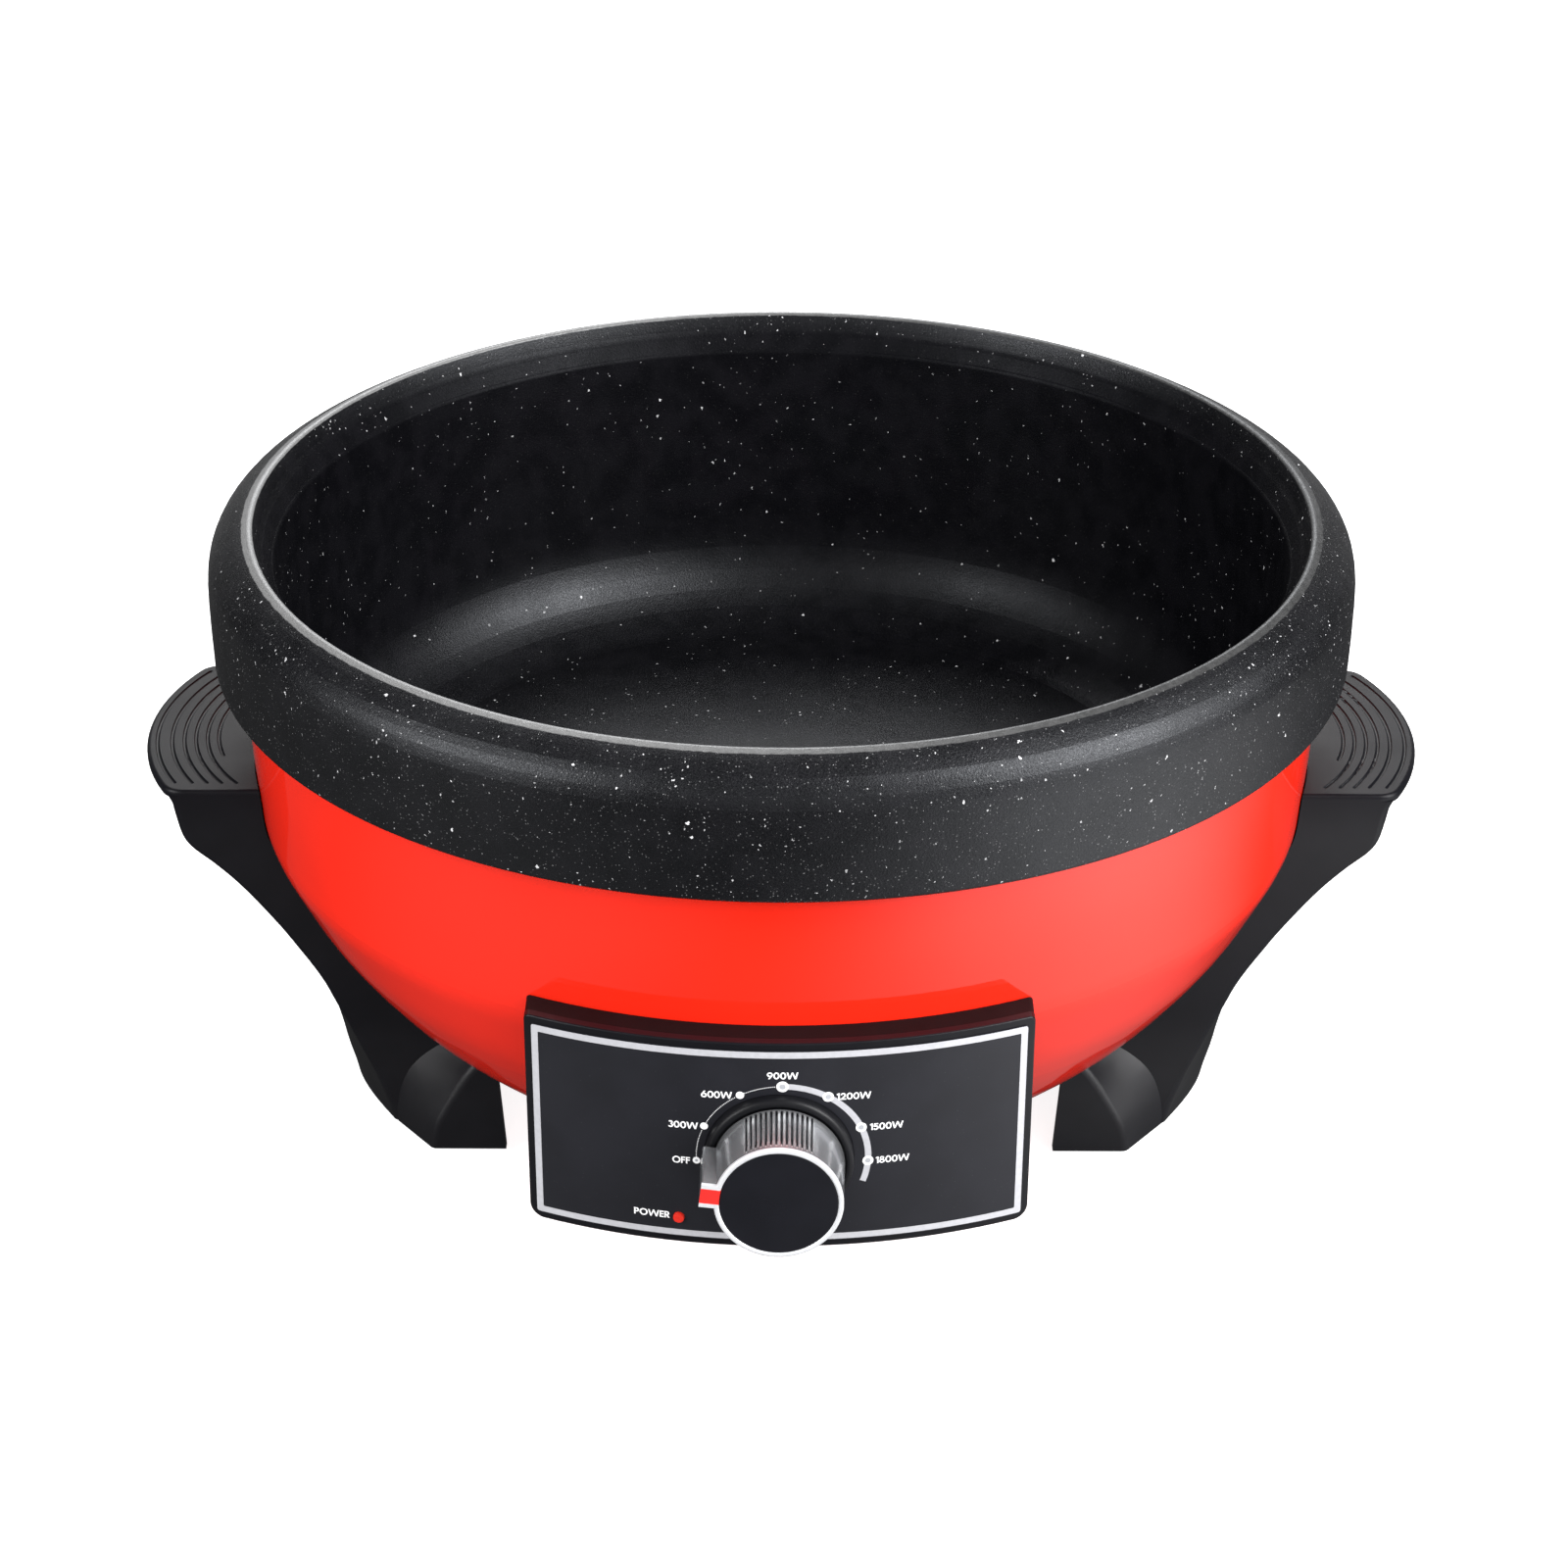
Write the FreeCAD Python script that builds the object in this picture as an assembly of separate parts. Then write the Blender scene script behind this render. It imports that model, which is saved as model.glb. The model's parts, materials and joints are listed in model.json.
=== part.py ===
import FreeCAD, Part
import math
import os

# Electric hot pot: a removable pan in a painted bowl on two leg-and-handle mouldings,
# with a curved control panel at the front and an appliance inlet at the back.
# Millimetres. +Z up, floor at z = 0, pan axis on x = y = 0, front is -Y.

V = FreeCAD.Vector
os.makedirs("parts", exist_ok=True)

# ---------------------------------------------------------------- driving sizes
RIM_Z = 188.0          # top of the pan's rim
PAN_OUT_R = 165.0      # outside of the pan's turned-down rim
SKIRT_Z = 149.7        # lower edge of the turned-down rim
FLOOR_Z = 89.6         # cooking surface
PAN_WALL = 3.2
SHELL_T = 0.9
LINER_T = 0.6
SHELL_BOTTOM_Z = 31.0
SHELL_HOLE_R = 60.0
GAP = 0.35             # running gap between the shell and the mouldings on it
LEG_Y = 41.0           # half depth of a handle column
FOOT_Y = 55.8          # front plane of a foot
LEG_WALL = 3.0
LEG_BOTTOM_Z = 0.8
LEG_IN_X = 81.8        # inner wall of a foot
PAD_Z = 114.4          # top of a handle pad
PAD_T = 3.2
PANEL_R = 164.5        # front of the control panel, a cylinder about the pan axis
PANEL_X = 67.0
PANEL_Z0, PANEL_Z1 = 44.0, 108.0
FASCIA_T = 2.6
FILM_T = 0.35
DIAL_Z = 73.0
KNOB_R0, KNOB_R1 = 17.3, 16.8
KNOB_FRONT_Y = -186.0
SPINDLE_R = 3.0
COLLAR_R = 19.6
POINTER_DEG = 7.0      # how far the pointer stands above the horizontal
LAMP_X, LAMP_Z = 26.5, 52.4
ELEMENT_R = 3.5
ELEMENT_Z = 78.0
ELEMENT_OUT, ELEMENT_IN = 92.0, 66.0
FOOT_PAD_X, FOOT_PAD_Y, FOOT_PAD_R = 92.5, 45.6, 6.4

nodes = {}


def add(name, shape):
    nodes[name] = shape


# ---------------------------------------------------------------- helpers
def interp(pts, q):
    """Monotone cubic (Fritsch-Carlson) through pts [(a, b)], at q."""
    n = len(pts)
    x = [p[0] for p in pts]
    y = [p[1] for p in pts]
    d = [(y[i + 1] - y[i]) / (x[i + 1] - x[i]) for i in range(n - 1)]
    m = [d[0]] + [0.0] * (n - 2) + [d[-1]]
    for i in range(1, n - 1):
        if d[i - 1] * d[i] <= 0:
            m[i] = 0.0
        else:
            w1 = 2 * (x[i + 1] - x[i]) + (x[i] - x[i - 1])
            w2 = (x[i + 1] - x[i]) + 2 * (x[i] - x[i - 1])
            m[i] = (w1 + w2) / (w1 / d[i - 1] + w2 / d[i])
    if q <= x[0]:
        return y[0] + m[0] * (q - x[0])
    if q >= x[-1]:
        return y[-1] + m[-1] * (q - x[-1])
    i = max(k for k in range(n - 1) if x[k] <= q)
    h = x[i + 1] - x[i]
    t = (q - x[i]) / h
    return ((2 * t**3 - 3 * t**2 + 1) * y[i] + (t**3 - 2 * t**2 + t) * h * m[i]
            + (-2 * t**3 + 3 * t**2) * y[i + 1] + (t**3 - t**2) * h * m[i + 1])


def spline(pts):
    c = Part.BSplineCurve()
    c.interpolate(pts)
    return c.toShape()


def path_edges(start, items, mk):
    """Edges from start through items: ('l', p), ('a', mid, end), ('s', [p, ...])."""
    edges = []
    p = start
    for it in items:
        if it[0] == "l":
            edges.append(Part.makeLine(mk(p), mk(it[1])))
            p = it[1]
        elif it[0] == "a":
            edges.append(Part.Arc(mk(p), mk(it[1]), mk(it[2])).toShape())
            p = it[2]
        else:
            edges.append(spline([mk(p)] + [mk(q) for q in it[1]]))
            p = it[1][-1]
    return edges


def in_steps(edge, deg):
    """A curved edge as a row of shorter ones that each turn by deg at most."""
    a, b = edge.ParameterRange
    m = 240
    t = [edge.tangentAt(a + (b - a) * i / m) for i in range(m + 1)]
    turn = [math.degrees(p.getAngle(q)) for p, q in zip(t, t[1:])]
    n = max(1, int(math.ceil(sum(turn) / deg)))
    cuts, acc = [a], 0.0
    for i in range(m):
        acc += turn[i]
        if acc >= sum(turn) / n and len(cuts) < n:
            cuts.append(a + (b - a) * (i + 1) / m)
            acc -= sum(turn) / n
    cuts.append(b)
    return [edge.Curve.toShape(p, q) for p, q in zip(cuts, cuts[1:])]


def face_rz(start, items, deg=None):
    """Profile face in the xz plane; with deg, its curves are split into short steps."""
    e = path_edges(start, items, lambda p: V(p[0], 0, p[1]))
    if deg:
        e = [q for x in e for q in ([x] if x.Curve.TypeId == "Part::GeomLine" else in_steps(x, deg))]
    return Part.Face(Part.Wire(e))


def revolve(face):
    return face.revolve(V(0, 0, 0), V(0, 0, 1), 360)


def offset_pts(pts, t):
    """Points moved by t to the left of the direction of travel."""
    out = []
    for i, p in enumerate(pts):
        a = pts[max(0, i - 1)]
        b = pts[min(len(pts) - 1, i + 1)]
        dx, dz = b[0] - a[0], b[1] - a[1]
        n = math.hypot(dx, dz)
        out.append((p[0] - dz / n * t, p[1] + dx / n * t))
    return out


def cyl(r, h, base, axis=V(0, 0, 1)):
    return Part.makeCylinder(r, h, base, axis)


def ring(r1, r0, h, base, axis=V(0, 0, 1)):
    return cyl(r1, h, base, axis).cut(cyl(r0, h + 2, base - axis * 1.0, axis))


def box(x0, x1, y0, y1, z0, z1):
    return Part.makeBox(x1 - x0, y1 - y0, z1 - z0, V(x0, y0, z0))


def fuse(*s):
    r = s[0]
    if len(s) > 1:
        r = s[0].fuse(list(s[1:]))
    return r.removeSplitter()


def group(solids):
    return Part.Compound(solids)


def only_solid(s):
    """The largest solid of a boolean's result."""
    return max(s.Solids, key=lambda q: q.Volume)


def round_edges(s, r, pick):
    es = [e for e in s.Edges if pick(e)]
    if not es:
        print("no edges to round")
        return s
    try:
        f = s.makeFillet(r, es)
        if f.isValid() and f.Volume > 0:
            return f
    except Exception as ex:
        print("fillet skipped:", ex)
    return s


def turned_y(start, items, cx, cz):
    """Solid of revolution about the line (cx, *, cz) along Y; profile is (radius, y)."""
    mk = lambda p: V(cx + p[0], p[1], cz)
    f = Part.Face(Part.Wire(path_edges(start, items, mk)))
    return f.revolve(V(cx, 0, cz), V(0, 1, 0), 360)


def tube_path(pts, rad):
    """A wire of straight runs joined by tangent arcs; rad is one radius or a list."""
    edges = []
    last = pts[0]
    for i in range(1, len(pts) - 1):
        a, b, c = pts[i - 1], pts[i], pts[i + 1]
        u = (b - a).normalize() if False else (b - a).multiply(1.0 / (b - a).Length)
        w = (c - b).multiply(1.0 / (c - b).Length)
        ang = math.acos(max(-1.0, min(1.0, u.dot(w))))
        r = rad[i - 1] if isinstance(rad, (list, tuple)) else rad
        tl = min(r * math.tan(ang / 2), 0.45 * min((b - a).Length, (c - b).Length))
        r = tl / math.tan(ang / 2)
        p1 = b - u * tl
        p2 = b + w * tl
        mid_dir = (w - u)
        mid_dir = mid_dir.multiply(1.0 / mid_dir.Length)
        cen = b + mid_dir * (r / math.cos(ang / 2))
        pm = cen - mid_dir * r
        if (p1 - last).Length > 1e-6:
            edges.append(Part.makeLine(last, p1))
        edges.append(Part.Arc(p1, pm, p2).toShape())
        last = p2
    edges.append(Part.makeLine(last, pts[-1]))
    return Part.Wire(edges)


def tube(pts, r, rad):
    w = tube_path(pts, rad)
    d = (pts[1] - pts[0])
    prof = Part.Wire(Part.Circle(pts[0], d, r).toShape())
    s = w.makePipeShell([prof], True, True)
    if not s.isValid() or not s.Solids:
        s = w.makePipeShell([prof], True, False)
    want = math.pi * r * r * w.Length
    if abs(s.Volume - want) > 0.02 * want:
        print("tube volume off", s.Volume, want)
    return s.Solids[0] if s.Solids else s


# ---------------------------------------------------------------- shell profile
# outside radius by height; the bowl turns in below z = 100 to a flat bottom
SHELL = [(36.0, 107.8), (42.0, 114.9), (48.0, 121.2), (55.0, 127.6), (62.5, 133.5), (70.0, 138.9),
         (77.5, 143.6), (85.0, 147.5), (92.0, 150.9), (98.0, 153.5), (101.0, 154.3), (108.0, 155.0),
         (115.0, 155.5), (128.0, 156.3), (140.0, 156.7), (150.0, 157.0), (165.0, 157.1), (176.0, 157.1)]


def shell_r(z):
    return interp(SHELL, z)


def shell_outline(extra):
    """Outer line from the bottom plane up to the bead, moved out by extra."""
    pts = [(95.0, SHELL_BOTTOM_Z), (100.2, 32.0), (104.2, 33.6)] + [(r, z) for z, r in SHELL]
    return offset_pts(pts, -extra)


def shell_solid(extra, top=176.0):
    """Everything inside the shell's outside, grown by extra."""
    o = shell_outline(extra)
    z0 = SHELL_BOTTOM_Z - extra
    return revolve(face_rz((0, z0), [("l", (o[0][0], z0)), ("s", [(o[0][0] + 0.6, z0 + 0.05)] + o[1:]),
                                     ("l", (0, o[-1][1])), ("l", (0, z0))]))


def shell_frame(az_deg, z):
    """Point on the shell's outside and the outward normal there."""
    r = shell_r(z)
    s = (shell_r(z + 0.5) - shell_r(z - 0.5)) / 1.0
    a = math.radians(az_deg)
    n = V(math.cos(a), math.sin(a), -s)
    n = n.multiply(1.0 / n.Length)
    return V(r * math.cos(a), r * math.sin(a), z), n


def shell_screw(az, z, length, head_r=3.8, r=1.9):
    p, n = shell_frame(az, z)
    b = p - n * (SHELL_T + 0.25)
    head = cyl(head_r, 2.0, b - n * 2.0, n)
    shank = cyl(r, length + SHELL_T + 0.25, b, n)
    return fuse(head, shank)


def shell_hole(az, z, r):
    p, n = shell_frame(az, z)
    return cyl(r, 8.0, p - n * 4.0, n)


LEG_SCREWS = [(az, 106.0, 14.0) for az in (8.0, -8.0, 172.0, 188.0)]
HOUSING_SCREWS = [(-90.0 - 21.0, 97.0, 6.0), (-90.0 + 21.0, 97.0, 6.0),
                  (-90.0 - 24.5, 63.0, 9.0), (-90.0 + 24.5, 63.0, 9.0)]
INLET_HSCREWS = [(90.0 - 7.6, 83.0, 5.0), (90.0 + 7.6, 83.0, 5.0),
                 (90.0 - 8.4, 52.0, 8.0), (90.0 + 8.4, 52.0, 8.0)]
LUG_X, LUG_Y = 76.0, 14.0
BASE_SCREW_R = 64.5

# ---------------------------------------------------------------- 1 pan
inner = [(146.0, 176.2), (145.5, 170.0), (144.5, 156.0), (143.0, 138.0), (141.6, 124.0),
         (140.6, 116.0), (138.8, 109.0), (135.6, 102.6), (130.8, 97.0), (125.4, 93.2), (121.0, 91.2)]
outer_low = offset_pts(inner[2:-1], PAN_WALL)     # travel is downward, so left is outward
pan_items = []
pan_items += [("l", (66.0, 85.6)), ("a", (66.6, 84.8), (67.6, 84.4)), ("l", (103.4, 84.4)),
              ("a", (104.4, 84.8), (105.0, 85.6)), ("l", (113.0, 85.6))]
low = [(121.6, 87.6)] + outer_low[::-1] + [(149.0, 168.0)]
low = [p for p in low]
pan_items += [("s", low), ("l", (149.3, 177.2)), ("a", (150.3, 180.9), (153.0, 182.1)),
              ("l", (159.2, 182.1)), ("a", (161.0, 181.2), (161.7, 179.2)), ("l", (161.6, 151.4)),
              ("a", (162.1, 150.2), (163.1, SKIRT_Z)), ("a", (164.3, 150.15), (164.75, 151.3)),
              ("s", [(164.95, 158.0), (165.0, 166.0), (164.95, 173.0), (164.4, 177.4), (163.2, 180.6),
                     (161.5, 183.0), (159.2, 184.95), (156.6, 186.5), (154.7, 187.45), (153.3, 187.95)]),
              ("a", (152.05, 187.9), (151.3, 186.9)), ("l", (150.2, 183.6)),
              ("a", (149.6, 182.4), (148.9, 181.4)), ("l", (146.7, 177.7)), ("a", (146.2, 177.0), inner[0]),
              ("s", inner[1:]), ("a", (118.4, 90.2), (115.6, FLOOR_Z)), ("l", (0, FLOOR_Z)), ("l", (0, 85.6))]
pan = revolve(face_rz((0, 85.6), pan_items, 14.0))
add("cooking_pan", only_solid(pan))

# ---------------------------------------------------------------- 2 shell
o = shell_outline(0)
ip = offset_pts(o, SHELL_T)                       # left of travel (upward) is inward
ip[0] = (95.0, SHELL_BOTTOM_Z + SHELL_T)
prof = [("l", (95.0, SHELL_BOTTOM_Z)), ("s", [(95.6, SHELL_BOTTOM_Z + 0.05)] + o[1:]),
        ("l", (157.1, 179.0)), ("l", (156.2, 179.0)), ("l", ip[-1]),
        ("s", ip[-2:0:-1] + [(95.6, SHELL_BOTTOM_Z + SHELL_T + 0.05), (95.0, SHELL_BOTTOM_Z + SHELL_T)]),
        ("l", (SHELL_HOLE_R, SHELL_BOTTOM_Z + SHELL_T)), ("l", (SHELL_HOLE_R, SHELL_BOTTOM_Z))]
shell = revolve(face_rz((SHELL_HOLE_R, SHELL_BOTTOM_Z), prof, 14.0))
bead = Part.makeTorus(158.3, 1.7, V(0, 0, 179.35), V(0, 0, 1))
shell = only_solid(shell)
cuts = []
for az, z, L in LEG_SCREWS + HOUSING_SCREWS + INLET_HSCREWS:
    cuts.append(shell_hole(az, z, 2.1))
for sx in (-1, 1):
    for sy in (-1, 1):
        cuts.append(cyl(2.1, 6, V(sx * LUG_X, sy * LUG_Y, 29)))
for k in range(4):
    a = math.radians(45 + 90 * k)
    cuts.append(cyl(1.6, 6, V(BASE_SCREW_R * math.cos(a), BASE_SCREW_R * math.sin(a), 29)))
SPACER_AZ = (90.0, 210.0, 330.0)
SPACER_R = 84.0
window = box(-22, 22, -170, -120, 52.5, 93.5)
window = round_edges(window, 5.0, lambda e: abs(e.Vertexes[0].Y - e.Vertexes[-1].Y) > 40)
cuts.append(window)
window = box(-14.3, 14.3, 118.3, 171, 55.6, 76.3)    # the inlet's body and tabs reach through here
window = round_edges(window, 1.5, lambda e: abs(e.Vertexes[0].Y - e.Vertexes[-1].Y) > 40)
cuts.append(window)
cuts.append(cyl(2.05, 6, V(-74.0, 40.0, 29)))      # earth stud
shell = only_solid(fuse(only_solid(shell.cut(cuts)), bead))
print("shell volume", round(shell.Volume))
add("outer_shell", shell)

# ---------------------------------------------------------------- 3 liner
lin = [(152.2, 178.4), (151.8, 165.0), (150.9, 145.0), (149.4, 126.0), (147.3, 113.0), (143.4, 102.0),
       (137.0, 92.0), (128.0, 82.6), (117.0, 74.0), (108.0, 67.6), (102.0, 64.2)]
lo = offset_pts(lin, LINER_T)                     # travel downward: left is outward
floor_in = 62.6
liner = revolve(face_rz((0, 62.0), [
    ("l", (96.0, 62.0)), ("s", [(99.0, 62.25)] + lo[::-1]), ("a", (153.2, 180.5), (154.4, 181.1)),
    ("l", (159.4, 181.1)), ("l", (159.4, 181.7)), ("l", (154.0, 181.7)), ("a", (152.7, 180.8), lin[0]),
    ("s", lin[1:] + [(98.8, 62.85), (96.0, floor_in)]), ("l", (0, floor_in)), ("l", (0, 62.0))]))
liner = only_solid(liner)
lc = []
for a in SPACER_AZ:
    lc.append(cyl(2.1, 4, V(SPACER_R * math.cos(math.radians(a)), SPACER_R * math.sin(math.radians(a)), 60)))

# heating element: two turns joined by a hairpin, both ends turned down through the liner
A_END, A_HAIR = math.radians(-44.0), math.radians(-70.0)


def polar(r, a, z=ELEMENT_Z):
    return V(r * math.cos(a), r * math.sin(a), z)


BEND = 9.0


def el_down(r, a):
    """Vertical end leg: foot point, bend, and the start of the ring at angle a."""
    t = V(-math.sin(a), math.cos(a), 0)           # direction of rising angle
    p = polar(r, a)
    top = p - t * BEND - V(0, 0, BEND)            # top of the vertical leg
    mid = p - t * (BEND * math.sin(math.radians(45))) - V(0, 0, BEND * (1 - math.cos(math.radians(45))))
    foot = V(top.x, top.y, 50.0)
    return foot, top, mid, p


f1, t1, m1, s1 = el_down(ELEMENT_OUT, A_END)
f2, t2, m2, s2 = el_down(ELEMENT_IN, A_END)
e_hair_out = polar(ELEMENT_OUT, A_HAIR + 2 * math.pi)
e_hair_in = polar(ELEMENT_IN, A_HAIR + 2 * math.pi)
rm = (ELEMENT_OUT + ELEMENT_IN) / 2
hr = (ELEMENT_OUT - ELEMENT_IN) / 2
tdir = V(-math.sin(A_HAIR), math.cos(A_HAIR), 0)
hm = polar(rm, A_HAIR) + tdir * hr


def ring_arcs(r, a0, a1, n=3):
    out = []
    for i in range(n):
        b0 = a0 + (a1 - a0) * i / n
        b1 = a0 + (a1 - a0) * (i + 1) / n
        out.append(Part.Arc(polar(r, b0), polar(r, (b0 + b1) / 2), polar(r, b1)).toShape())
    return out


A_HAIR2 = A_HAIR + 2 * math.pi
wire_edges = [Part.makeLine(f1, t1), Part.Arc(t1, m1, s1).toShape()]
wire_edges += ring_arcs(ELEMENT_OUT, A_END, A_HAIR2)
wire_edges += [Part.Arc(e_hair_out, hm, e_hair_in).toShape()]
wire_edges += ring_arcs(ELEMENT_IN, A_HAIR2, A_END)
wire_edges += [Part.Arc(s2, m2, t2).toShape(), Part.makeLine(t2, f2)]
ew = Part.Wire(wire_edges)
el = ew.makePipeShell([Part.Wire(Part.Circle(f1, V(0, 0, 1), ELEMENT_R).toShape())], True, True)
print("element", el.isValid(), round(el.Volume), "want", round(math.pi * ELEMENT_R**2 * ew.Length))
add("heating_element", el.Solids[0])
END_PTS = [f1, f2]
ins, pins = [], []
for f in END_PTS:
    b = V(f.x, f.y, 58.5)
    bead1 = ring(6.4, ELEMENT_R + 0.05, 3.3, V(f.x, f.y, 58.6))
    bead2 = ring(5.4, ELEMENT_R + 0.05, 2.6, V(f.x, f.y, 61.9))
    ins.append(fuse(bead1, bead2))
    pins.append(fuse(cyl(1.6, 5.0, V(f.x, f.y, 45.0)), cyl(2.6, 1.2, V(f.x, f.y, 46.2))))
    lc.append(cyl(5.5, 4, V(f.x, f.y, 60)))
add("element_insulators", group(ins))
add("element_pins", group(pins))

# element supports: three radial bridges with a clamp round each turn
SUP_AZ = (20.0, 135.0, 245.0)
sups = []
for a in SUP_AZ:
    top = box(57, 101, -5, 5, 73.2, 74.3)
    l1 = box(57, 58.2, -5, 5, floor_in, 74.3)
    l2 = box(99.0, 100.2, -5, 5, 64.9, 74.3)
    ft = box(50, 58.2, -5, 5, floor_in, floor_in + 1.1)
    s = fuse(top, l1, l2, ft)
    for r in (ELEMENT_OUT, ELEMENT_IN):
        s = s.fuse(cyl(ELEMENT_R + 1.2, 7.0, V(r, -3.5, ELEMENT_Z), V(0, 1, 0)))
        s = s.cut(cyl(ELEMENT_R + 0.2, 9.0, V(r, -4.5, ELEMENT_Z), V(0, 1, 0)))
    rib = box(70, 88, -5, 5, 72.2, 73.3)
    s = fuse(s, rib).cut(cyl(1.6, 4, V(53.5, 0, 61)))
    s.rotate(V(0, 0, 0), V(0, 0, 1), a)
    sups.append(only_solid(s))
    lc.append(cyl(1.65, 4, V(53.5 * math.cos(math.radians(a)), 53.5 * math.sin(math.radians(a)), 60)))
add("element_supports", group(sups))
rivets = []
for a in SUP_AZ:
    c = V(53.5 * math.cos(math.radians(a)), 53.5 * math.sin(math.radians(a)), 0)
    rivets.append(fuse(cyl(1.55, 3.7, c + V(0, 0, 61.0)), cyl(2.8, 1.0, c + V(0, 0, floor_in + 1.1)),
                       cyl(2.6, 1.0, c + V(0, 0, 61.0))))
add("support_rivets", group(rivets))

# over-temperature cut-out under the middle of the pan
for sy in (-1, 1):
    lc.append(cyl(3.0, 4, V(0, sy * 17.0, 60)))
br = fuse(box(-26, 26, -7, 7, 70.0, 71.0), box(-26, -25, -7, 7, floor_in, 71.0), box(25, 26, -7, 7, floor_in, 71.0),
          box(-34, -25, -7, 7, floor_in, floor_in + 1.0), box(25, 34, -7, 7, floor_in, floor_in + 1.0))
br = br.cut(cyl(6.0, 4, V(0, 0, 69)))
for sx in (-1, 1):
    br = br.cut(cyl(1.6, 4, V(sx * 30, 0, 61)))
    lc.append(cyl(1.65, 4, V(sx * 30, 0, 60)))
add("cutout_bracket", only_solid(br))
add("bracket_rivets", group([fuse(cyl(1.55, 3.6, V(sx * 30, 0, 61.0)), cyl(2.8, 1.0, V(sx * 30, 0, floor_in + 1.0)),
                                  cyl(2.6, 1.0, V(sx * 30, 0, 61.0))) for sx in (-1, 1)]))
cut_body = fuse(cyl(8.2, 7.4, V(0, 0, 71.0)), cyl(5.9, 5.0, V(0, 0, 66.0)),
                box(-3.2, 3.2, 5.4, 13.0, 66.4, 67.2), box(-3.2, 3.2, -13.0, -5.4, 66.4, 67.2))
add("thermal_cutout", cut_body)
cap = cyl(7.4, 5.4, V(0, 0, 78.4))
cap = round_edges(cap, 0.8, lambda e: abs(e.CenterOfMass.z - 83.8) < 0.01 and e.Closed)
add("cutout_cap", cap)
liner = only_solid(liner.cut(lc))
add("heat_liner", liner)

spc, lsc = [], []
for a in SPACER_AZ:
    c = V(SPACER_R * math.cos(math.radians(a)), SPACER_R * math.sin(math.radians(a)), 0)
    spc.append(ring(4.2, 2.0, 62.0 - (SHELL_BOTTOM_Z + SHELL_T), c + V(0, 0, SHELL_BOTTOM_Z + SHELL_T)))
    lsc.append(fuse(cyl(1.95, 12, c + V(0, 0, 50.65)), cyl(3.8, 1.8, c + V(0, 0, floor_in + 0.0))))
add("liner_spacers", group(spc))
add("liner_screws", group(lsc))

# ---------------------------------------------------------------- base cover under the shell
cover = revolve(face_rz((0, 32.4), [
    ("l", (52.0, 32.4)), ("a", (54.2, 31.9), (55.2, 30.9)), ("a", (55.8, 30.2), (56.8, 30.0)), ("l", (71.0, 30.0)),
    ("a", (71.6, 29.6), (71.9, 28.9)), ("l", (72.7, 28.9)), ("a", (72.4, 30.4), (71.2, 31.0)), ("l", (57.2, 31.0)),
    ("a", (56.5, 31.15), (56.0, 31.6)), ("a", (54.6, 32.9), (52.0, 33.4)), ("l", (0, 33.4)), ("l", (0, 32.4))]))
cover = only_solid(cover)
cc = []
for k in range(4):
    a = math.radians(45 + 90 * k)
    cc.append(cyl(1.9, 8, V(BASE_SCREW_R * math.cos(a), BASE_SCREW_R * math.sin(a), 27)))
for row in range(-3, 4):
    y = row * 9.0
    half = math.sqrt(max(0, 44.0**2 - y**2)) - 4
    n = 2
    for s in (-1, 1):
        slot = fuse(box(s * 4 if s > 0 else -half, half if s > 0 else -4, y - 1.4, y + 1.4, 31, 35))
        cc.append(slot)
        cc.append(cyl(1.4, 4, V(s * half, y, 31)))
        cc.append(cyl(1.4, 4, V(s * 4.0, y, 31)))
cover = only_solid(cover.cut(cc))
add("base_cover", cover)
bs = []
for k in range(4):
    a = math.radians(45 + 90 * k)
    c = V(BASE_SCREW_R * math.cos(a), BASE_SCREW_R * math.sin(a), 0)
    s = fuse(cyl(3.4, 1.9, c + V(0, 0, 28.1)), cyl(1.5, 6.0, c + V(0, 0, 30.0)))
    s = s.cut([box(-2.4, 2.4, -0.4, 0.4, 27.6, 29.1).translate(c), box(-0.4, 0.4, -2.4, 2.4, 27.6, 29.1).translate(c)])
    bs.append(only_solid(s))
add("base_screws", group(bs))

# ---------------------------------------------------------------- leg and handle mouldings
COL = [(0.0, 116.0), (3.7, 116.8), (8.0, 118.0), (12.0, 119.3), (18.5, 121.7), (26.7, 125.2), (35.2, 128.7),
       (41.0, 131.2), (48.0, 134.2), (54.8, 137.8), (61.5, 142.2), (68.3, 146.6), (74.9, 151.5), (81.6, 156.8),
       (88.2, 163.0), (91.5, 166.6), (94.5, 170.1), (97.0, 172.2), (99.3, 173.3), (102.0, 174.0), (105.0, 174.4),
       (108.0, 174.9), (111.0, 175.9), (112.5, 176.6)]
BULGE = [(0.0, 16.2), (10.0, 15.9), (16.0, 15.0), (22.0, 13.6), (28.0, 12.2), (36.0, 11.2), (50.0, 10.8),
         (70.0, 10.3), (90.0, 9.2), (100.0, 8.2), (108.0, 8.6), (112.5, 9.6)]
CREASE1 = [(115.7, 0.0), (115.8, 5.0), (115.1, 9.8), (113.3, 15.8), (110.7, 20.6), (107.6, 24.0), (103.9, 27.0),
           (99.3, 29.7), (94.2, 31.6), (88.0, 33.1), (81.8, 34.1)]
CREASE2 = [(103.9, 0.0), (103.3, 4.3), (102.2, 9.2), (100.3, 13.3), (98.1, 17.4), (95.6, 22.0), (93.3, 26.0),
           (90.6, 30.0), (87.4, 33.6), (84.6, 36.2), (81.8, 38.2)]
COL_Z = [0.0, 5, 10, 16, 22, 28, 35, 43, 51, 59, 67, 75, 82, 88, 92, 95.5, 98.5, 102, 106, 109.5, 112.4]


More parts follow.
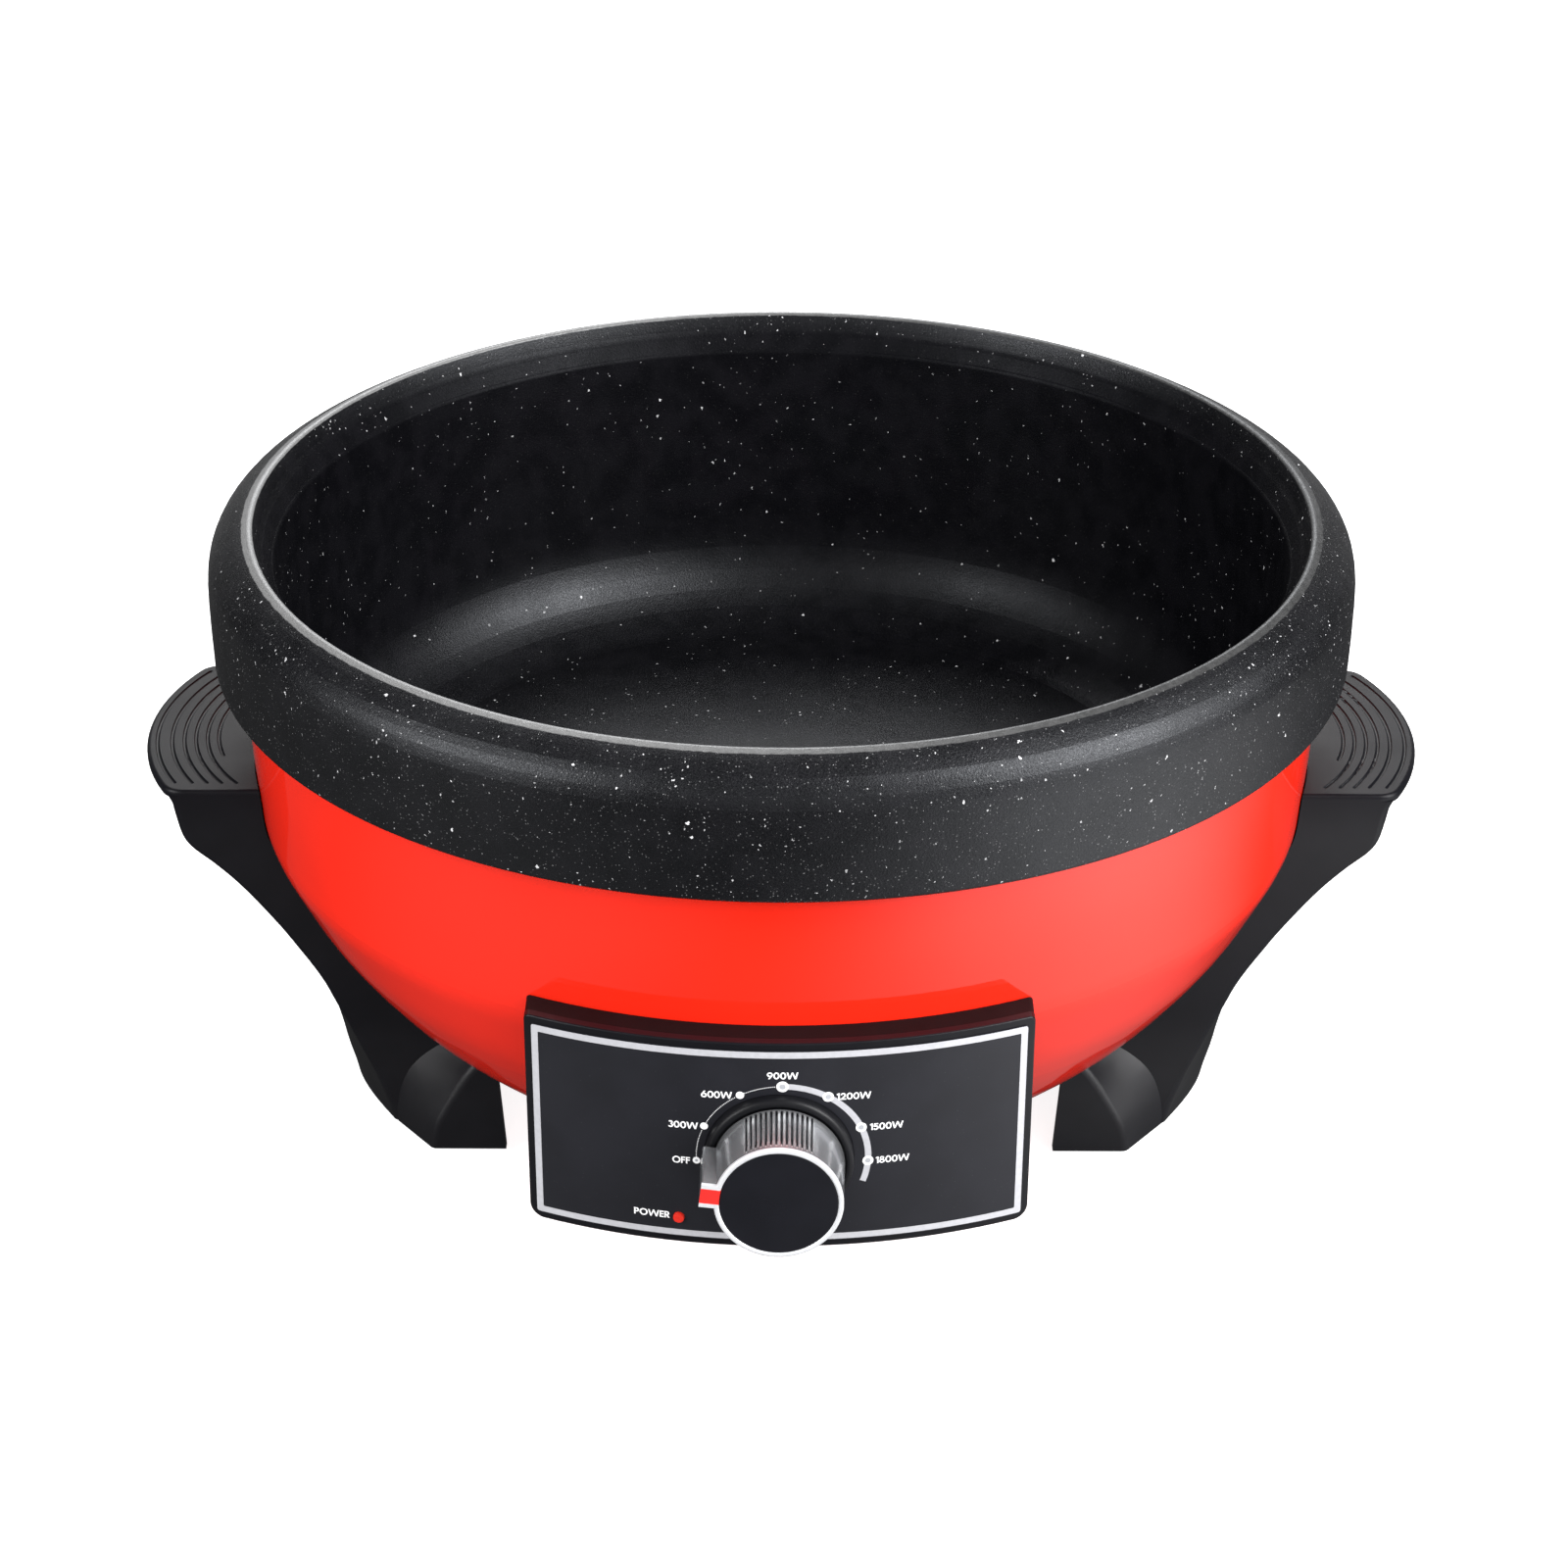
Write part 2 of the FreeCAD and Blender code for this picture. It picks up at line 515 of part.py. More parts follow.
def column(inset, z_lo, z_hi, x_in, rc):
    """Loft of plan sections: flat front and back, bulged outer side, rounded corners."""
    yy = LEG_Y - inset
    wires = []
    zs = [z_lo] + [z for z in COL_Z if z_lo + 1 < z < z_hi - 1] + [z_hi]
    for z in zs:
        # the wall's inset along the outer surface's slope keeps its thickness even
        s = (interp(COL, z + 1) - interp(COL, z - 1)) / 2
        xo = interp(COL, z) - inset * math.sqrt(1 + s * s)
        b = interp(BULGE, z)
        n = 10
        y1 = yy - rc
        cur = []
        for i in range(n + 1):
            y = -y1 + 2 * y1 * i / n
            cur.append(V(xo + b * math.cos(math.pi / 2 * abs(y) / LEG_Y), y, z))
        k = V(xo + b * math.cos(math.pi / 2 * yy / LEG_Y), -yy, z)
        a = V(k.x - rc, -yy, z)
        m = k + ((a - k) + (cur[0] - k)) * 0.28
        k2, a2, m2 = V(k.x, yy, z), V(a.x, yy, z), V(m.x, -m.y, z)
        e = [Part.makeLine(V(x_in, -yy, z), a), Part.Arc(a, m, cur[0]).toShape(), spline(cur),
             Part.Arc(cur[-1], m2, a2).toShape(), Part.makeLine(a2, V(x_in, yy, z)),
             Part.makeLine(V(x_in, yy, z), V(x_in, -yy, z))]
        wires.append(Part.Wire(e))
    return Part.makeLoft(wires, True, False)


def foot_block(inset, x_in, back, z_lo):
    """Foot in front of the column: ruled from crease 1 (column front) to crease 2 (foot front),
    and carried back into the column by the length back."""
    def wire(cr, y):
        off = offset_pts(cr, inset) if inset else list(cr)
        off = [p for p in off if p[0] > max(x_in, LEG_IN_X) + 1.0]
        pv = [V(x, y, z) for x, z in off]
        pv[0] = V(pv[0].x, y, z_lo)
        last = pv[-1]
        end = V(x_in, y, last.z + (pv[-1].z - pv[-2].z) / (pv[-2].x - pv[-1].x) * (pv[-1].x - x_in))
        pv.append(end)
        return Part.Wire([spline(pv), Part.makeLine(end, V(x_in, y, z_lo)), Part.makeLine(V(x_in, y, z_lo), pv[0])])
    w1 = wire(CREASE1, -LEG_Y)
    ruled = Part.makeLoft([w1, wire(CREASE2, -FOOT_Y + inset)], True, True)
    return ruled, Part.Face(w1).extrude(V(0, back, 0))


def mirror_y(s):
    return s.mirror(V(0, 0, 0), V(0, 1, 0))


PAD_CX, PAD_R = 109.0, 79.3
PAD_Y = LEG_Y


def pad_plate():
    xc = PAD_CX + math.sqrt(PAD_R**2 - PAD_Y**2)
    rc = 3.5
    y1 = PAD_Y - rc
    x1 = PAD_CX + math.sqrt(PAD_R**2 - y1**2)
    z = PAD_Z - PAD_T
    a = V(xc - rc * 1.15, -PAD_Y, z)
    b = V(x1, -y1, z)
    k = V(xc, -PAD_Y, z)
    m = k + ((a - k) + (b - k)) * 0.27
    e = [Part.makeLine(V(128, -PAD_Y, z), a), Part.Arc(a, m, b).toShape(),
         Part.Arc(b, V(PAD_CX + PAD_R, 0, z), V(b.x, -b.y, z)).toShape(),
         Part.Arc(V(b.x, -b.y, z), V(m.x, -m.y, z), V(a.x, -a.y, z)).toShape(),
         Part.makeLine(V(a.x, -a.y, z), V(128, PAD_Y, z)), Part.makeLine(V(128, PAD_Y, z), V(128, -PAD_Y, z))]
    p = Part.Face(Part.Wire(e)).extrude(V(0, 0, PAD_T))
    p = round_edges(p, 1.3, lambda q: abs(q.CenterOfMass.z - PAD_Z) < 0.01 and q.CenterOfMass.x > 130)
    p = round_edges(p, 1.4, lambda q: abs(q.CenterOfMass.z - PAD_Z + PAD_T) < 0.01 and q.CenterOfMass.x > 130)
    gx = 114.0
    for xm, ye in ((185.2, 36.0), (180.9, 36.0), (177.3, 36.0), (173.9, 36.0), (170.5, 36.0), (167.2, 19.0)):
        r = xm - gx
        t = math.asin(ye / r)
        c0 = V(gx + r * math.cos(t), -ye, PAD_Z + 0.05)
        c1 = V(gx + r * math.cos(t), ye, PAD_Z + 0.05)
        arc = Part.Wire([Part.Arc(c0, V(xm, 0, PAD_Z + 0.05), c1).toShape()])
        tan = V(math.sin(t), math.cos(t), 0)
        g = arc.makePipeShell([Part.Wire(Part.Circle(c0, tan, 0.62).toShape())], True, True)
        p = p.cut([g.Solids[0], Part.makeSphere(0.62, c0), Part.makeSphere(0.62, c1)])
    return only_solid(p)


# all the space outside the shell, less the running gap
OUTER_SPACE = cyl(230.0, 180.0, V(0, 0, -8.0)).cut(shell_solid(GAP))


def outside(s):
    return s.common(OUTER_SPACE)


def leg():
    col = column(0.0, LEG_BOTTOM_Z, 112.4, LEG_IN_X, 1.5)
    blk, ext = foot_block(0.0, LEG_IN_X, 4.0, LEG_BOTTOM_Z)
    blk = round_edges(blk, 2.6, lambda e: abs(e.CenterOfMass.y + FOOT_Y) < 0.01 and e.BoundBox.ZLength > 10
                      and e.BoundBox.XLength > 5)
    blk = blk.fuse(ext)
    body = col.fuse([blk, mirror_y(blk), pad_plate()])
    body = outside(body)
    body = only_solid(body)
    # hollow, open towards the pan axis and downwards
    hol = column(LEG_WALL, -2.0, PAD_Z - 3.4, 60.0, 0.5)
    hb, he = foot_block(LEG_WALL, 60.0, 6.0, -2.0)
    body = body.cut([hol, hb, he, mirror_y(hb), mirror_y(he)])
    # the feet's inner edges lean outwards as they rise
    lean = [V(60, -70, -2), V(LEG_IN_X - 0.1, -70, -2), V(LEG_IN_X + 1.6, -70, 24), V(LEG_IN_X + 1.6, -70, 40),
            V(60, -70, 40)]
    body = body.cut(Part.Face(Part.makePolygon(lean + [lean[0]])).extrude(V(0, 140, 0)))
    body = only_solid(body)
    # bosses for the rubber feet, the screws through the shell, and the lug under it
    adds, holes = [], []
    cb, ce = foot_block(1.0, LEG_IN_X, 12.0, LEG_BOTTOM_Z)
    clip = cb.fuse(ce)
    for s in (-1, 1):
        fb = cyl(8.2, 13.0, V(FOOT_PAD_X, s * FOOT_PAD_Y, LEG_BOTTOM_Z))
        adds.append(fb.common(clip if s < 0 else mirror_y(clip)))
        holes.append(cyl(FOOT_PAD_R + 0.05, 2.2, V(FOOT_PAD_X, s * FOOT_PAD_Y, LEG_BOTTOM_Z - 0.1)))
        holes.append(cyl(2.45, 9.0, V(FOOT_PAD_X, s * FOOT_PAD_Y, LEG_BOTTOM_Z)))
    env = column(0.8, 20.0, 112.0, 100.0, 0.4)
    for az in (8.0, -8.0):
        p, n = shell_frame(az, 106.0)
        b = outside(cyl(4.6, 24.0, p, n))
        adds.append(b.common(env))
        holes.append(cyl(1.95, 15.0, p, n))
    low = column(1.0, 5.0, 32.0, 84.0, 0.4)
    adds.append(box(66.0, 90.0, -21.2, 21.2, 27.4, SHELL_BOTTOM_Z - GAP).cut(cyl(73.4, 5.0, V(0, 0, 28.5))))
    adds.append(box(66.0, 68.4, -21.2, 21.2, 21.0, 28.4))
    for s in (-1, 1):
        adds.append(box(66.0, 86.0, s * 20.0 - 1.2, s * 20.0 + 1.2, 14.0, 28.4))
        adds.append(outside(box(84.0, 134.0, s * 20.0 - 1.2, s * 20.0 + 1.2, 8.0, 31.5).common(low)))
        holes.append(cyl(2.1, 12.0, V(LUG_X, s * LUG_Y, 22.0)))
    adds = [only_solid(a) for a in adds if a.Volume > 1]
    body = body.fuse(adds).cut(holes)
    body = only_solid(body)
    return body


right = leg()
add("right_leg_handle", right)
add("left_leg_handle", right.mirror(V(0, 0, 0), V(1, 0, 0)))

feet, lscr = [], []
for sx in (-1, 1):
    for sy in (-1, 1):
        c = V(sx * FOOT_PAD_X, sy * FOOT_PAD_Y, 0)
        f = cyl(FOOT_PAD_R, 2.85, c)
        f = round_edges(f, 0.5, lambda e: abs(e.CenterOfMass.z) < 0.01 and e.Closed)
        feet.append(fuse(f, cyl(2.4, 6.0, c + V(0, 0, 2.5))))
        d = V(sx * LUG_X, sy * LUG_Y, 0)
        lscr.append(fuse(cyl(3.8, 2.0, d + V(0, 0, 25.35)), cyl(1.95, 11.0, d + V(0, 0, 27.3))))
add("rubber_feet", group(feet))
for az, z, L in LEG_SCREWS:
    lscr.append(shell_screw(az, z, L))
add("leg_screws", group(lscr))

# ---------------------------------------------------------------- control panel
def front_prism(x, z0, z1, rb, rt, y0=-175.0, y1=-100.0):
    """A rounded rectangle in the XZ plane, drawn out along Y."""
    s = box(-x, x, y0, y1, z0, z1)
    s = round_edges(s, rb, lambda e: e.BoundBox.YLength > 40 and abs(e.CenterOfMass.z - z0) < 0.01)
    s = round_edges(s, rt, lambda e: e.BoundBox.YLength > 40 and abs(e.CenterOfMass.z - z1) < 0.01)
    return s


def sector(r1, r0, z0=30.0, z1=130.0):
    return ring(r1, r0, z1 - z0, V(0, 0, z0))


fas = front_prism(PANEL_X, PANEL_Z0, PANEL_Z1, 4.0, 1.6).common(sector(PANEL_R, PANEL_R - FASCIA_T))
fas = only_solid(fas)
fas = round_edges(fas, 0.55, lambda e: all(abs(math.hypot(v.X, v.Y) - PANEL_R) < 0.02 for v in e.Vertexes)
                  and e.Length > 2)
LAMP = None
for t in range(2000):
    a = -math.pi / 2 - t * 0.0002
    if abs(PANEL_R * math.cos(a)) >= LAMP_X:
        LAMP = V(PANEL_R * math.cos(a), PANEL_R * math.sin(a), LAMP_Z)
        break
lamp_n = V(LAMP.x, LAMP.y, 0).multiply(1.0 / PANEL_R)
# a locating rim behind the plate plugs into the housing's mouth
rim = front_prism(PANEL_X - 2.8, PANEL_Z0 + 2.8, PANEL_Z1 - 2.8, 2.0, 1.0).common(
    sector(PANEL_R - FASCIA_T + 0.1, PANEL_R - FASCIA_T - 3.0))
rim = rim.cut(front_prism(PANEL_X - 4.4, PANEL_Z0 + 4.4, PANEL_Z1 - 4.4, 1.0, 0.8))
rim = only_solid(rim)
fas = fuse(fas, rim)
fas = fas.cut([cyl(5.0, 30, V(0, -180, DIAL_Z), V(0, 1, 0)),
               cyl(1.85, 30, V(-12.5, -180, DIAL_Z), V(0, 1, 0)), cyl(1.85, 30, V(12.5, -180, DIAL_Z), V(0, 1, 0)),
               cyl(1.65, 12, LAMP - lamp_n * 6, lamp_n)])
add("control_fascia", only_solid(fas))

film = front_prism(PANEL_X - 1.9, PANEL_Z0 + 2.2, PANEL_Z1 - 2.2, 1.6, 0.8).common(sector(PANEL_R + FILM_T, PANEL_R))
film = film.cut([cyl(COLLAR_R + 0.15, 30, V(0, -180, DIAL_Z), V(0, 1, 0)), cyl(1.65, 12, LAMP - lamp_n * 6, lamp_n)])
add("fascia_overlay", only_solid(film))

env = front_prism(PANEL_X - 0.15, PANEL_Z0 + 0.15, PANEL_Z1 - 0.15, 3.8, 1.2, -175, -93).common(
    cyl(PANEL_R - FASCIA_T, 120, V(0, 0, 10)))
env = only_solid(outside(env))
hous = env.cut(front_prism(PANEL_X - 2.7, PANEL_Z0 + 2.7, PANEL_Z1 - 2.7, 1.6, 0.8, -175, -40))
print('housing env', round(env.Volume), 'shell', round(hous.Volume))
hous = only_solid(hous)
hb, hh = [], []
for az, z, L in HOUSING_SCREWS:
    p, n = shell_frame(az, z)
    b = outside(cyl(4.4, L + 2.6, p - n * 1.0, n))
    web = None
    hb.append(only_solid(b.common(env)))
    sx = 1 if math.cos(math.radians(az)) > 0 else -1
    # a web ties the boss to the side wall
    q = p + n * (L * 0.5)
    w = box(min(q.x, sx * 65.5), max(q.x, sx * 65.5), q.y - 1.0, q.y + 1.0, q.z - 4.0, q.z + 4.0)
    w = outside(w).common(env)
    hb += [only_solid(w)] if w.Volume > 0.5 else []
    hh.append(cyl(1.95, L + 1.2, p - n * 1.0, n))
hous = hous.fuse(hb).cut(hh)
# notch so that the locating rim of the fascia has its room
hous = hous.cut(front_prism(PANEL_X - 2.65, PANEL_Z0 + 2.65, PANEL_Z1 - 2.65, 1.6, 0.8).common(
    sector(PANEL_R, PANEL_R - FASCIA_T - 3.2)))
add("control_housing", only_solid(hous))
add("housing_screws", group([shell_screw(az, z, L) for az, z, L in HOUSING_SCREWS]))

# collar under the knob, its back shaped to the curved panel
Y0 = -(PANEL_R + FILM_T)
col = turned_y((9.0, -150.0), [("l", (COLLAR_R, -150.0)), ("l", (COLLAR_R, Y0 - 1.6)),
                               ("a", (COLLAR_R - 0.3, Y0 - 2.5), (COLLAR_R - 1.1, Y0 - 3.0)),
                               ("l", (17.9, Y0 - 3.0)), ("l", (17.9, Y0 - 2.2)), ("l", (9.0, Y0 - 2.2)),
                               ("l", (9.0, -150.0))], 0, DIAL_Z)
col = only_solid(col.cut(cyl(PANEL_R + 0.01, 60, V(0, 0, 43))))
col = col.cut([cyl(3.8, 30, V(-12.5, -180, DIAL_Z), V(0, 1, 0)), cyl(3.8, 30, V(12.5, -180, DIAL_Z), V(0, 1, 0))])
add("dial_collar", only_solid(col))

# regulator behind the panel
RY0, RY1 = -159.0, -139.0
reg = box(-17, 17, RY0, RY1, 57.0, 89.0)
reg = round_edges(reg, 2.0, lambda e: e.BoundBox.YLength > 15)
reg = fuse(reg, cyl(4.85, 4.6, V(0, RY0 - 4.6, DIAL_Z), V(0, 1, 0)),
           box(-10.4, -9.6, RY1, RY1 + 8.0, 61, 67), box(9.6, 10.4, RY1, RY1 + 8.0, 61, 67),
           box(-10.4, -9.6, RY1, RY1 + 8.0, 78, 84), box(9.6, 10.4, RY1, RY1 + 8.0, 78, 84),
           cyl(4.0, 3.1, V(-12.5, RY0 - 3.0, DIAL_Z), V(0, 1, 0)).cut(sector(200, PANEL_R - FASCIA_T - 0.02)),
           cyl(4.0, 3.1, V(12.5, RY0 - 3.0, DIAL_Z), V(0, 1, 0)).cut(sector(200, PANEL_R - FASCIA_T - 0.02)))
reg = reg.cut([cyl(SPINDLE_R + 0.05, 16.0, V(0, RY0 - 5.0, DIAL_Z), V(0, 1, 0)),
               cyl(1.5, 12.0, V(-12.5, RY0 - 4.0, DIAL_Z), V(0, 1, 0)),
               cyl(1.5, 12.0, V(12.5, RY0 - 4.0, DIAL_Z), V(0, 1, 0))])
add("power_regulator", only_solid(reg))
rs = []
for sx in (-1, 1):
    yb = -math.sqrt(PANEL_R**2 - 16.3**2) - 0.75
    rs.append(fuse(cyl(3.2, 1.8, V(sx * 12.5, yb - 1.8, DIAL_Z), V(0, 1, 0)),
                   cyl(1.45, 12.0, V(sx * 12.5, yb, DIAL_Z), V(0, 1, 0))))
add("regulator_screws", group(rs))

sp = cyl(SPINDLE_R, 183.0 - 149.5, V(0, -183.0, DIAL_Z), V(0, 1, 0))
sp = sp.cut(box(-4, 4, -184, -171.0, DIAL_Z + 2.0, DIAL_Z + 5))
add("regulator_spindle", sp)

# knob; the ring on its front runs out along the two edges of the pointer
KB = Y0 - 3.35                                     # back of the knob body
KF = KNOB_FRONT_Y + 1.2                            # back of the front ring
RING_IN = 15.4
TAB_H, TAB_X = 3.4, 20.4


def pointed(s):
    return s.rotate(V(0, 0, DIAL_Z), V(0, 1, 0), POINTER_DEG)


def tab_box(x0, x1, y0, y1, h0, h1):
    return pointed(box(x0, x1, y0, y1, DIAL_Z + h0, DIAL_Z + h1))


body = turned_y((0, KB), [("l", (KNOB_R0, KB)), ("l", (KNOB_R0 - 0.05, KB - 1.2)), ("l", (KNOB_R1, KF)),
                          ("l", (0, KF)), ("l", (0, KB))], 0, DIAL_Z)
cav = turned_y((4.9, KB + 1), [("l", (15.5, KB + 1)), ("l", (15.1, KF + 2.0)), ("l", (4.9, KF + 2.0)),
                               ("l", (4.9, KB + 1))], 0, DIAL_Z)
body = body.cut(cav)
bore = cyl(SPINDLE_R, 40, V(0, -183.0, DIAL_Z), V(0, 1, 0)).cut(box(-4, 4, -184, -171.0, DIAL_Z + 2.0, DIAL_Z + 5))
body = body.cut(bore)
gr = []
for side in (90.0, 270.0):
    for k in range(14):
        a = math.radians(side + (k - 6.5) * 4.6)
        r0, r1 = KNOB_R0 + 0.02, KNOB_R1 + 0.1
        p0 = V(r0 * math.cos(a), KB - 1.0, DIAL_Z + r0 * math.sin(a))
        p1 = V(r1 * math.cos(a), -182.0, DIAL_Z + r1 * math.sin(a))
        d = p1 - p0
        gr.append(cyl(0.40, d.Length, p0, d.multiply(1.0 / d.Length)))
body = body.cut(gr)
# seat for the pointer
body = body.cut(tab_box(-TAB_X, -16.0, KF - 1.0, KB + 1, -TAB_H, TAB_H))
add("knob_body", only_solid(body))
tab = box(-TAB_X, -16.0, KF, KB - 0.15, DIAL_Z - TAB_H, DIAL_Z + TAB_H)
tab = round_edges(tab, 0.5, lambda e: e.BoundBox.YLength > 5 and e.CenterOfMass.x < -19)
add("knob_pointer", pointed(tab))
kr = turned_y((RING_IN, KF), [("l", (KNOB_R1, KF)), ("l", (KNOB_R1, KNOB_FRONT_Y + 0.45)),
                              ("a", (KNOB_R1 - 0.15, KNOB_FRONT_Y + 0.12), (KNOB_R1 - 0.5, KNOB_FRONT_Y)),
                              ("l", (RING_IN + 0.4, KNOB_FRONT_Y)), ("l", (RING_IN, KNOB_FRONT_Y + 0.35)),
                              ("l", (RING_IN, KF))], 0, DIAL_Z)
kr = kr.cut(tab_box(-TAB_X - 1, 0, KNOB_FRONT_Y - 1, KF + 1, -TAB_H + 1.15, TAB_H - 1.15))
bars = tab_box(-TAB_X, -RING_IN - 0.3, KNOB_FRONT_Y + 0.1, KF, -TAB_H, TAB_H).cut(
    tab_box(-TAB_X - 1, 0, KNOB_FRONT_Y - 1, KF + 1, -TAB_H + 1.15, TAB_H - 1.15))
kr = fuse(only_solid(kr), *[q.cut(cyl(RING_IN + 0.2, 10, V(0, -190, DIAL_Z), V(0, 1, 0))) for q in bars.Solids])
add("knob_ring", kr)
stripe = tab_box(-TAB_X, -14.0, KNOB_FRONT_Y + 0.15, KF, -TAB_H + 1.15, TAB_H - 1.15).cut(
    cyl(RING_IN, 10, V(0, -190, DIAL_Z), V(0, 1, 0)))
add("pointer_stripe", only_solid(stripe))
kc = cyl(RING_IN, KF - KNOB_FRONT_Y - 0.25, V(0, KNOB_FRONT_Y + 0.25, DIAL_Z), V(0, 1, 0))
kc = round_edges(kc, 0.3, lambda e: abs(e.CenterOfMass.y - KNOB_FRONT_Y - 0.25) < 0.01 and e.Closed)
add("knob_cap", kc)

# power lamp
lens = fuse(cyl(1.55, 3.4, LAMP - lamp_n * 3.0, lamp_n), cyl(2.6, 1.2, LAMP - lamp_n * 4.1, lamp_n),
            Part.makeSphere(1.55, LAMP + lamp_n * 0.4).common(
                cyl(1.55, 0.7, LAMP + lamp_n * 0.35, lamp_n)))
add("indicator_lens", only_solid(lens))
lb = LAMP - lamp_n * 17.0
lamp = fuse(cyl(2.4, 12.6, lb, lamp_n), cyl(3.4, 4.0, lb, lamp_n))
add("indicator_lamp", lamp)

# ---------------------------------------------------------------- rear inlet
IN_X, IN_Z0, IN_Z1, IN_Y = 27.0, 44.5, 93.0, 160.0
IN_CZ = 66.0
rp = box(-IN_X, IN_X, 100, IN_Y, IN_Z0, IN_Z1)
rp = round_edges(rp, 4.0, lambda e: e.BoundBox.YLength > 40)
rp = round_edges(rp, 1.5, lambda e: abs(e.CenterOfMass.y - IN_Y) < 0.01)
renv = only_solid(outside(rp))
inh = renv.cut(box(-IN_X + 2.4, IN_X - 2.4, 60, IN_Y - 2.4, IN_Z0 + 2.4, IN_Z1 - 2.4))
ib, ih = [], []
for az, z, L in INLET_HSCREWS:
    p, n = shell_frame(az, z)
    b = outside(cyl(4.2, L + 2.6, p - n * 1.0, n))
    ib.append(only_solid(b.common(renv)))
    sx = 1 if math.cos(math.radians(az)) > 0 else -1
    q = p + n * (L * 0.5)
    w = box(min(q.x, sx * 26.0), max(q.x, sx * 26.0), q.y - 1.0, q.y + 1.0, q.z - 3.5, q.z + 3.5)
    w = outside(w).common(renv)
    ib += [only_solid(w)] if w.Volume > 0.5 else []
    ih.append(cyl(1.95, L + 1.2, p - n * 1.0, n))
inh = inh.fuse(ib).cut(ih)
APX, APZ = 13.6, 9.6                                # half size of the inlet's body
inh = inh.cut([box(-APX - 0.1, APX + 0.1, 150, 170, IN_CZ - APZ - 0.1, IN_CZ + APZ + 0.1),
               cyl(1.5, 12, V(-20.0, 150, IN_CZ), V(0, 1, 0)), cyl(1.5, 12, V(20.0, 150, IN_CZ), V(0, 1, 0))])
add("inlet_housing", only_solid(inh))
ibody = box(-APX, APX, IN_Y - 20.0, IN_Y + 0.0, IN_CZ - APZ, IN_CZ + APZ)
flange = box(-24.6, 24.6, IN_Y, IN_Y + 2.2, IN_CZ - 11.4, IN_CZ + 11.4)
flange = round_edges(flange, 4.0, lambda e: abs(e.BoundBox.YLength - 2.2) < 0.01)
flange = round_edges(flange, 0.6, lambda e: abs(e.CenterOfMass.y - IN_Y - 2.2) < 0.01)
ibody = fuse(ibody, flange)
# socket: a rectangle with its two upper corners cut off
HX, HZ = 12.0, 8.1
pts = [V(-HX, 0, -HZ), V(HX, 0, -HZ), V(HX, 0, HZ - 5.0), V(HX - 5.0, 0, HZ), V(-HX + 5.0, 0, HZ), V(-HX, 0, HZ - 5.0)]
pts = [p + V(0, IN_Y - 15.0, IN_CZ) for p in pts]
sock = Part.Face(Part.makePolygon(pts + [pts[0]])).extrude(V(0, 20.0, 0))
ibody = ibody.cut([sock, cyl(1.9, 40, V(-20.0, 140, IN_CZ), V(0, 1, 0)), cyl(1.9, 40, V(20.0, 140, IN_CZ), V(0, 1, 0))])
PINS = [(-7.0, -2.0), (7.0, -2.0), (0.0, 2.0)]
pin_solids = []
for px, pz in PINS:
    tongue = box(px - 1.0, px + 1.0, IN_Y - 20.0, IN_Y - 2.0, IN_CZ + pz - 2.0, IN_CZ + pz + 2.0)
    tab = box(px - 0.4, px + 0.4, IN_Y - 28.0, IN_Y - 20.0, IN_CZ + pz - 3.1, IN_CZ + pz + 3.1)
    ibody = ibody.cut(box(px - 1.0, px + 1.0, IN_Y - 21.0, IN_Y - 14.0, IN_CZ + pz - 2.0, IN_CZ + pz + 2.0))
    tongue = round_edges(tongue, 0.6, lambda e: abs(e.CenterOfMass.y - (IN_Y - 2.0)) < 0.01)
    pin_solids.append(fuse(tongue, tab))
add("inlet_body", only_solid(ibody))
add("inlet_pins", group(pin_solids))
isc = []
for sx in (-1, 1):
    s = fuse(cyl(3.0, 1.6, V(sx * 20.0, IN_Y + 2.2, IN_CZ), V(0, 1, 0)),
             cyl(1.45, 9.0, V(sx * 20.0, IN_Y - 6.0, IN_CZ), V(0, 1, 0)))
    s = s.cut([box(sx * 20 - 2.0, sx * 20 + 2.0, IN_Y + 2.9, IN_Y + 4.5, IN_CZ - 0.35, IN_CZ + 0.35),
               box(sx * 20 - 0.35, sx * 20 + 0.35, IN_Y + 2.9, IN_Y + 4.5, IN_CZ - 2.0, IN_CZ + 2.0)])
    isc.append(only_solid(s))
add("inlet_screws", group(isc))
add("inlet_housing_screws", group([shell_screw(az, z, L) for az, z, L in INLET_HSCREWS]))

# ---------------------------------------------------------------- leads and terminals
TB = V(0.0, 42.0, 31.9)
POLES = (-7.0, 7.0)
tb = box(-13, 13, TB.y - 8, TB.y + 8, 36.0, 44.0)
for k in POLES:
    tb = tb.fuse(box(k - 5.0, k + 5.0, TB.y - 7, TB.y + 7, 44.0, 50.0))
    tb = tb.cut([cyl(1.7, 20, V(k, TB.y - 10, 47.0), V(0, 1, 0)), cyl(1.8, 5, V(k, TB.y, 46.9))])
tb = tb.cut([cyl(1.6, 12, V(0, TB.y - 4, 34)), cyl(1.6, 12, V(0, TB.y + 4, 34))])
add("terminal_block", only_solid(tb.removeSplitter()))
# it hangs from the liner by a stamped bracket
tbr = fuse(box(-14.2, 14.2, TB.y - 8, TB.y + 8, 35.0, 36.0), box(-14.2, -13.2, TB.y - 8, TB.y + 8, 35.0, 62.0),
           box(13.2, 14.2, TB.y - 8, TB.y + 8, 35.0, 62.0), box(-23.0, -13.2, TB.y - 8, TB.y + 8, 61.0, 62.0),
           box(13.2, 23.0, TB.y - 8, TB.y + 8, 61.0, 62.0))
add("block_bracket", tbr)

WR = 1.3


def wire(pts, rad=9.0, r=WR):
    return tube([V(*p) for p in pts], r, rad)


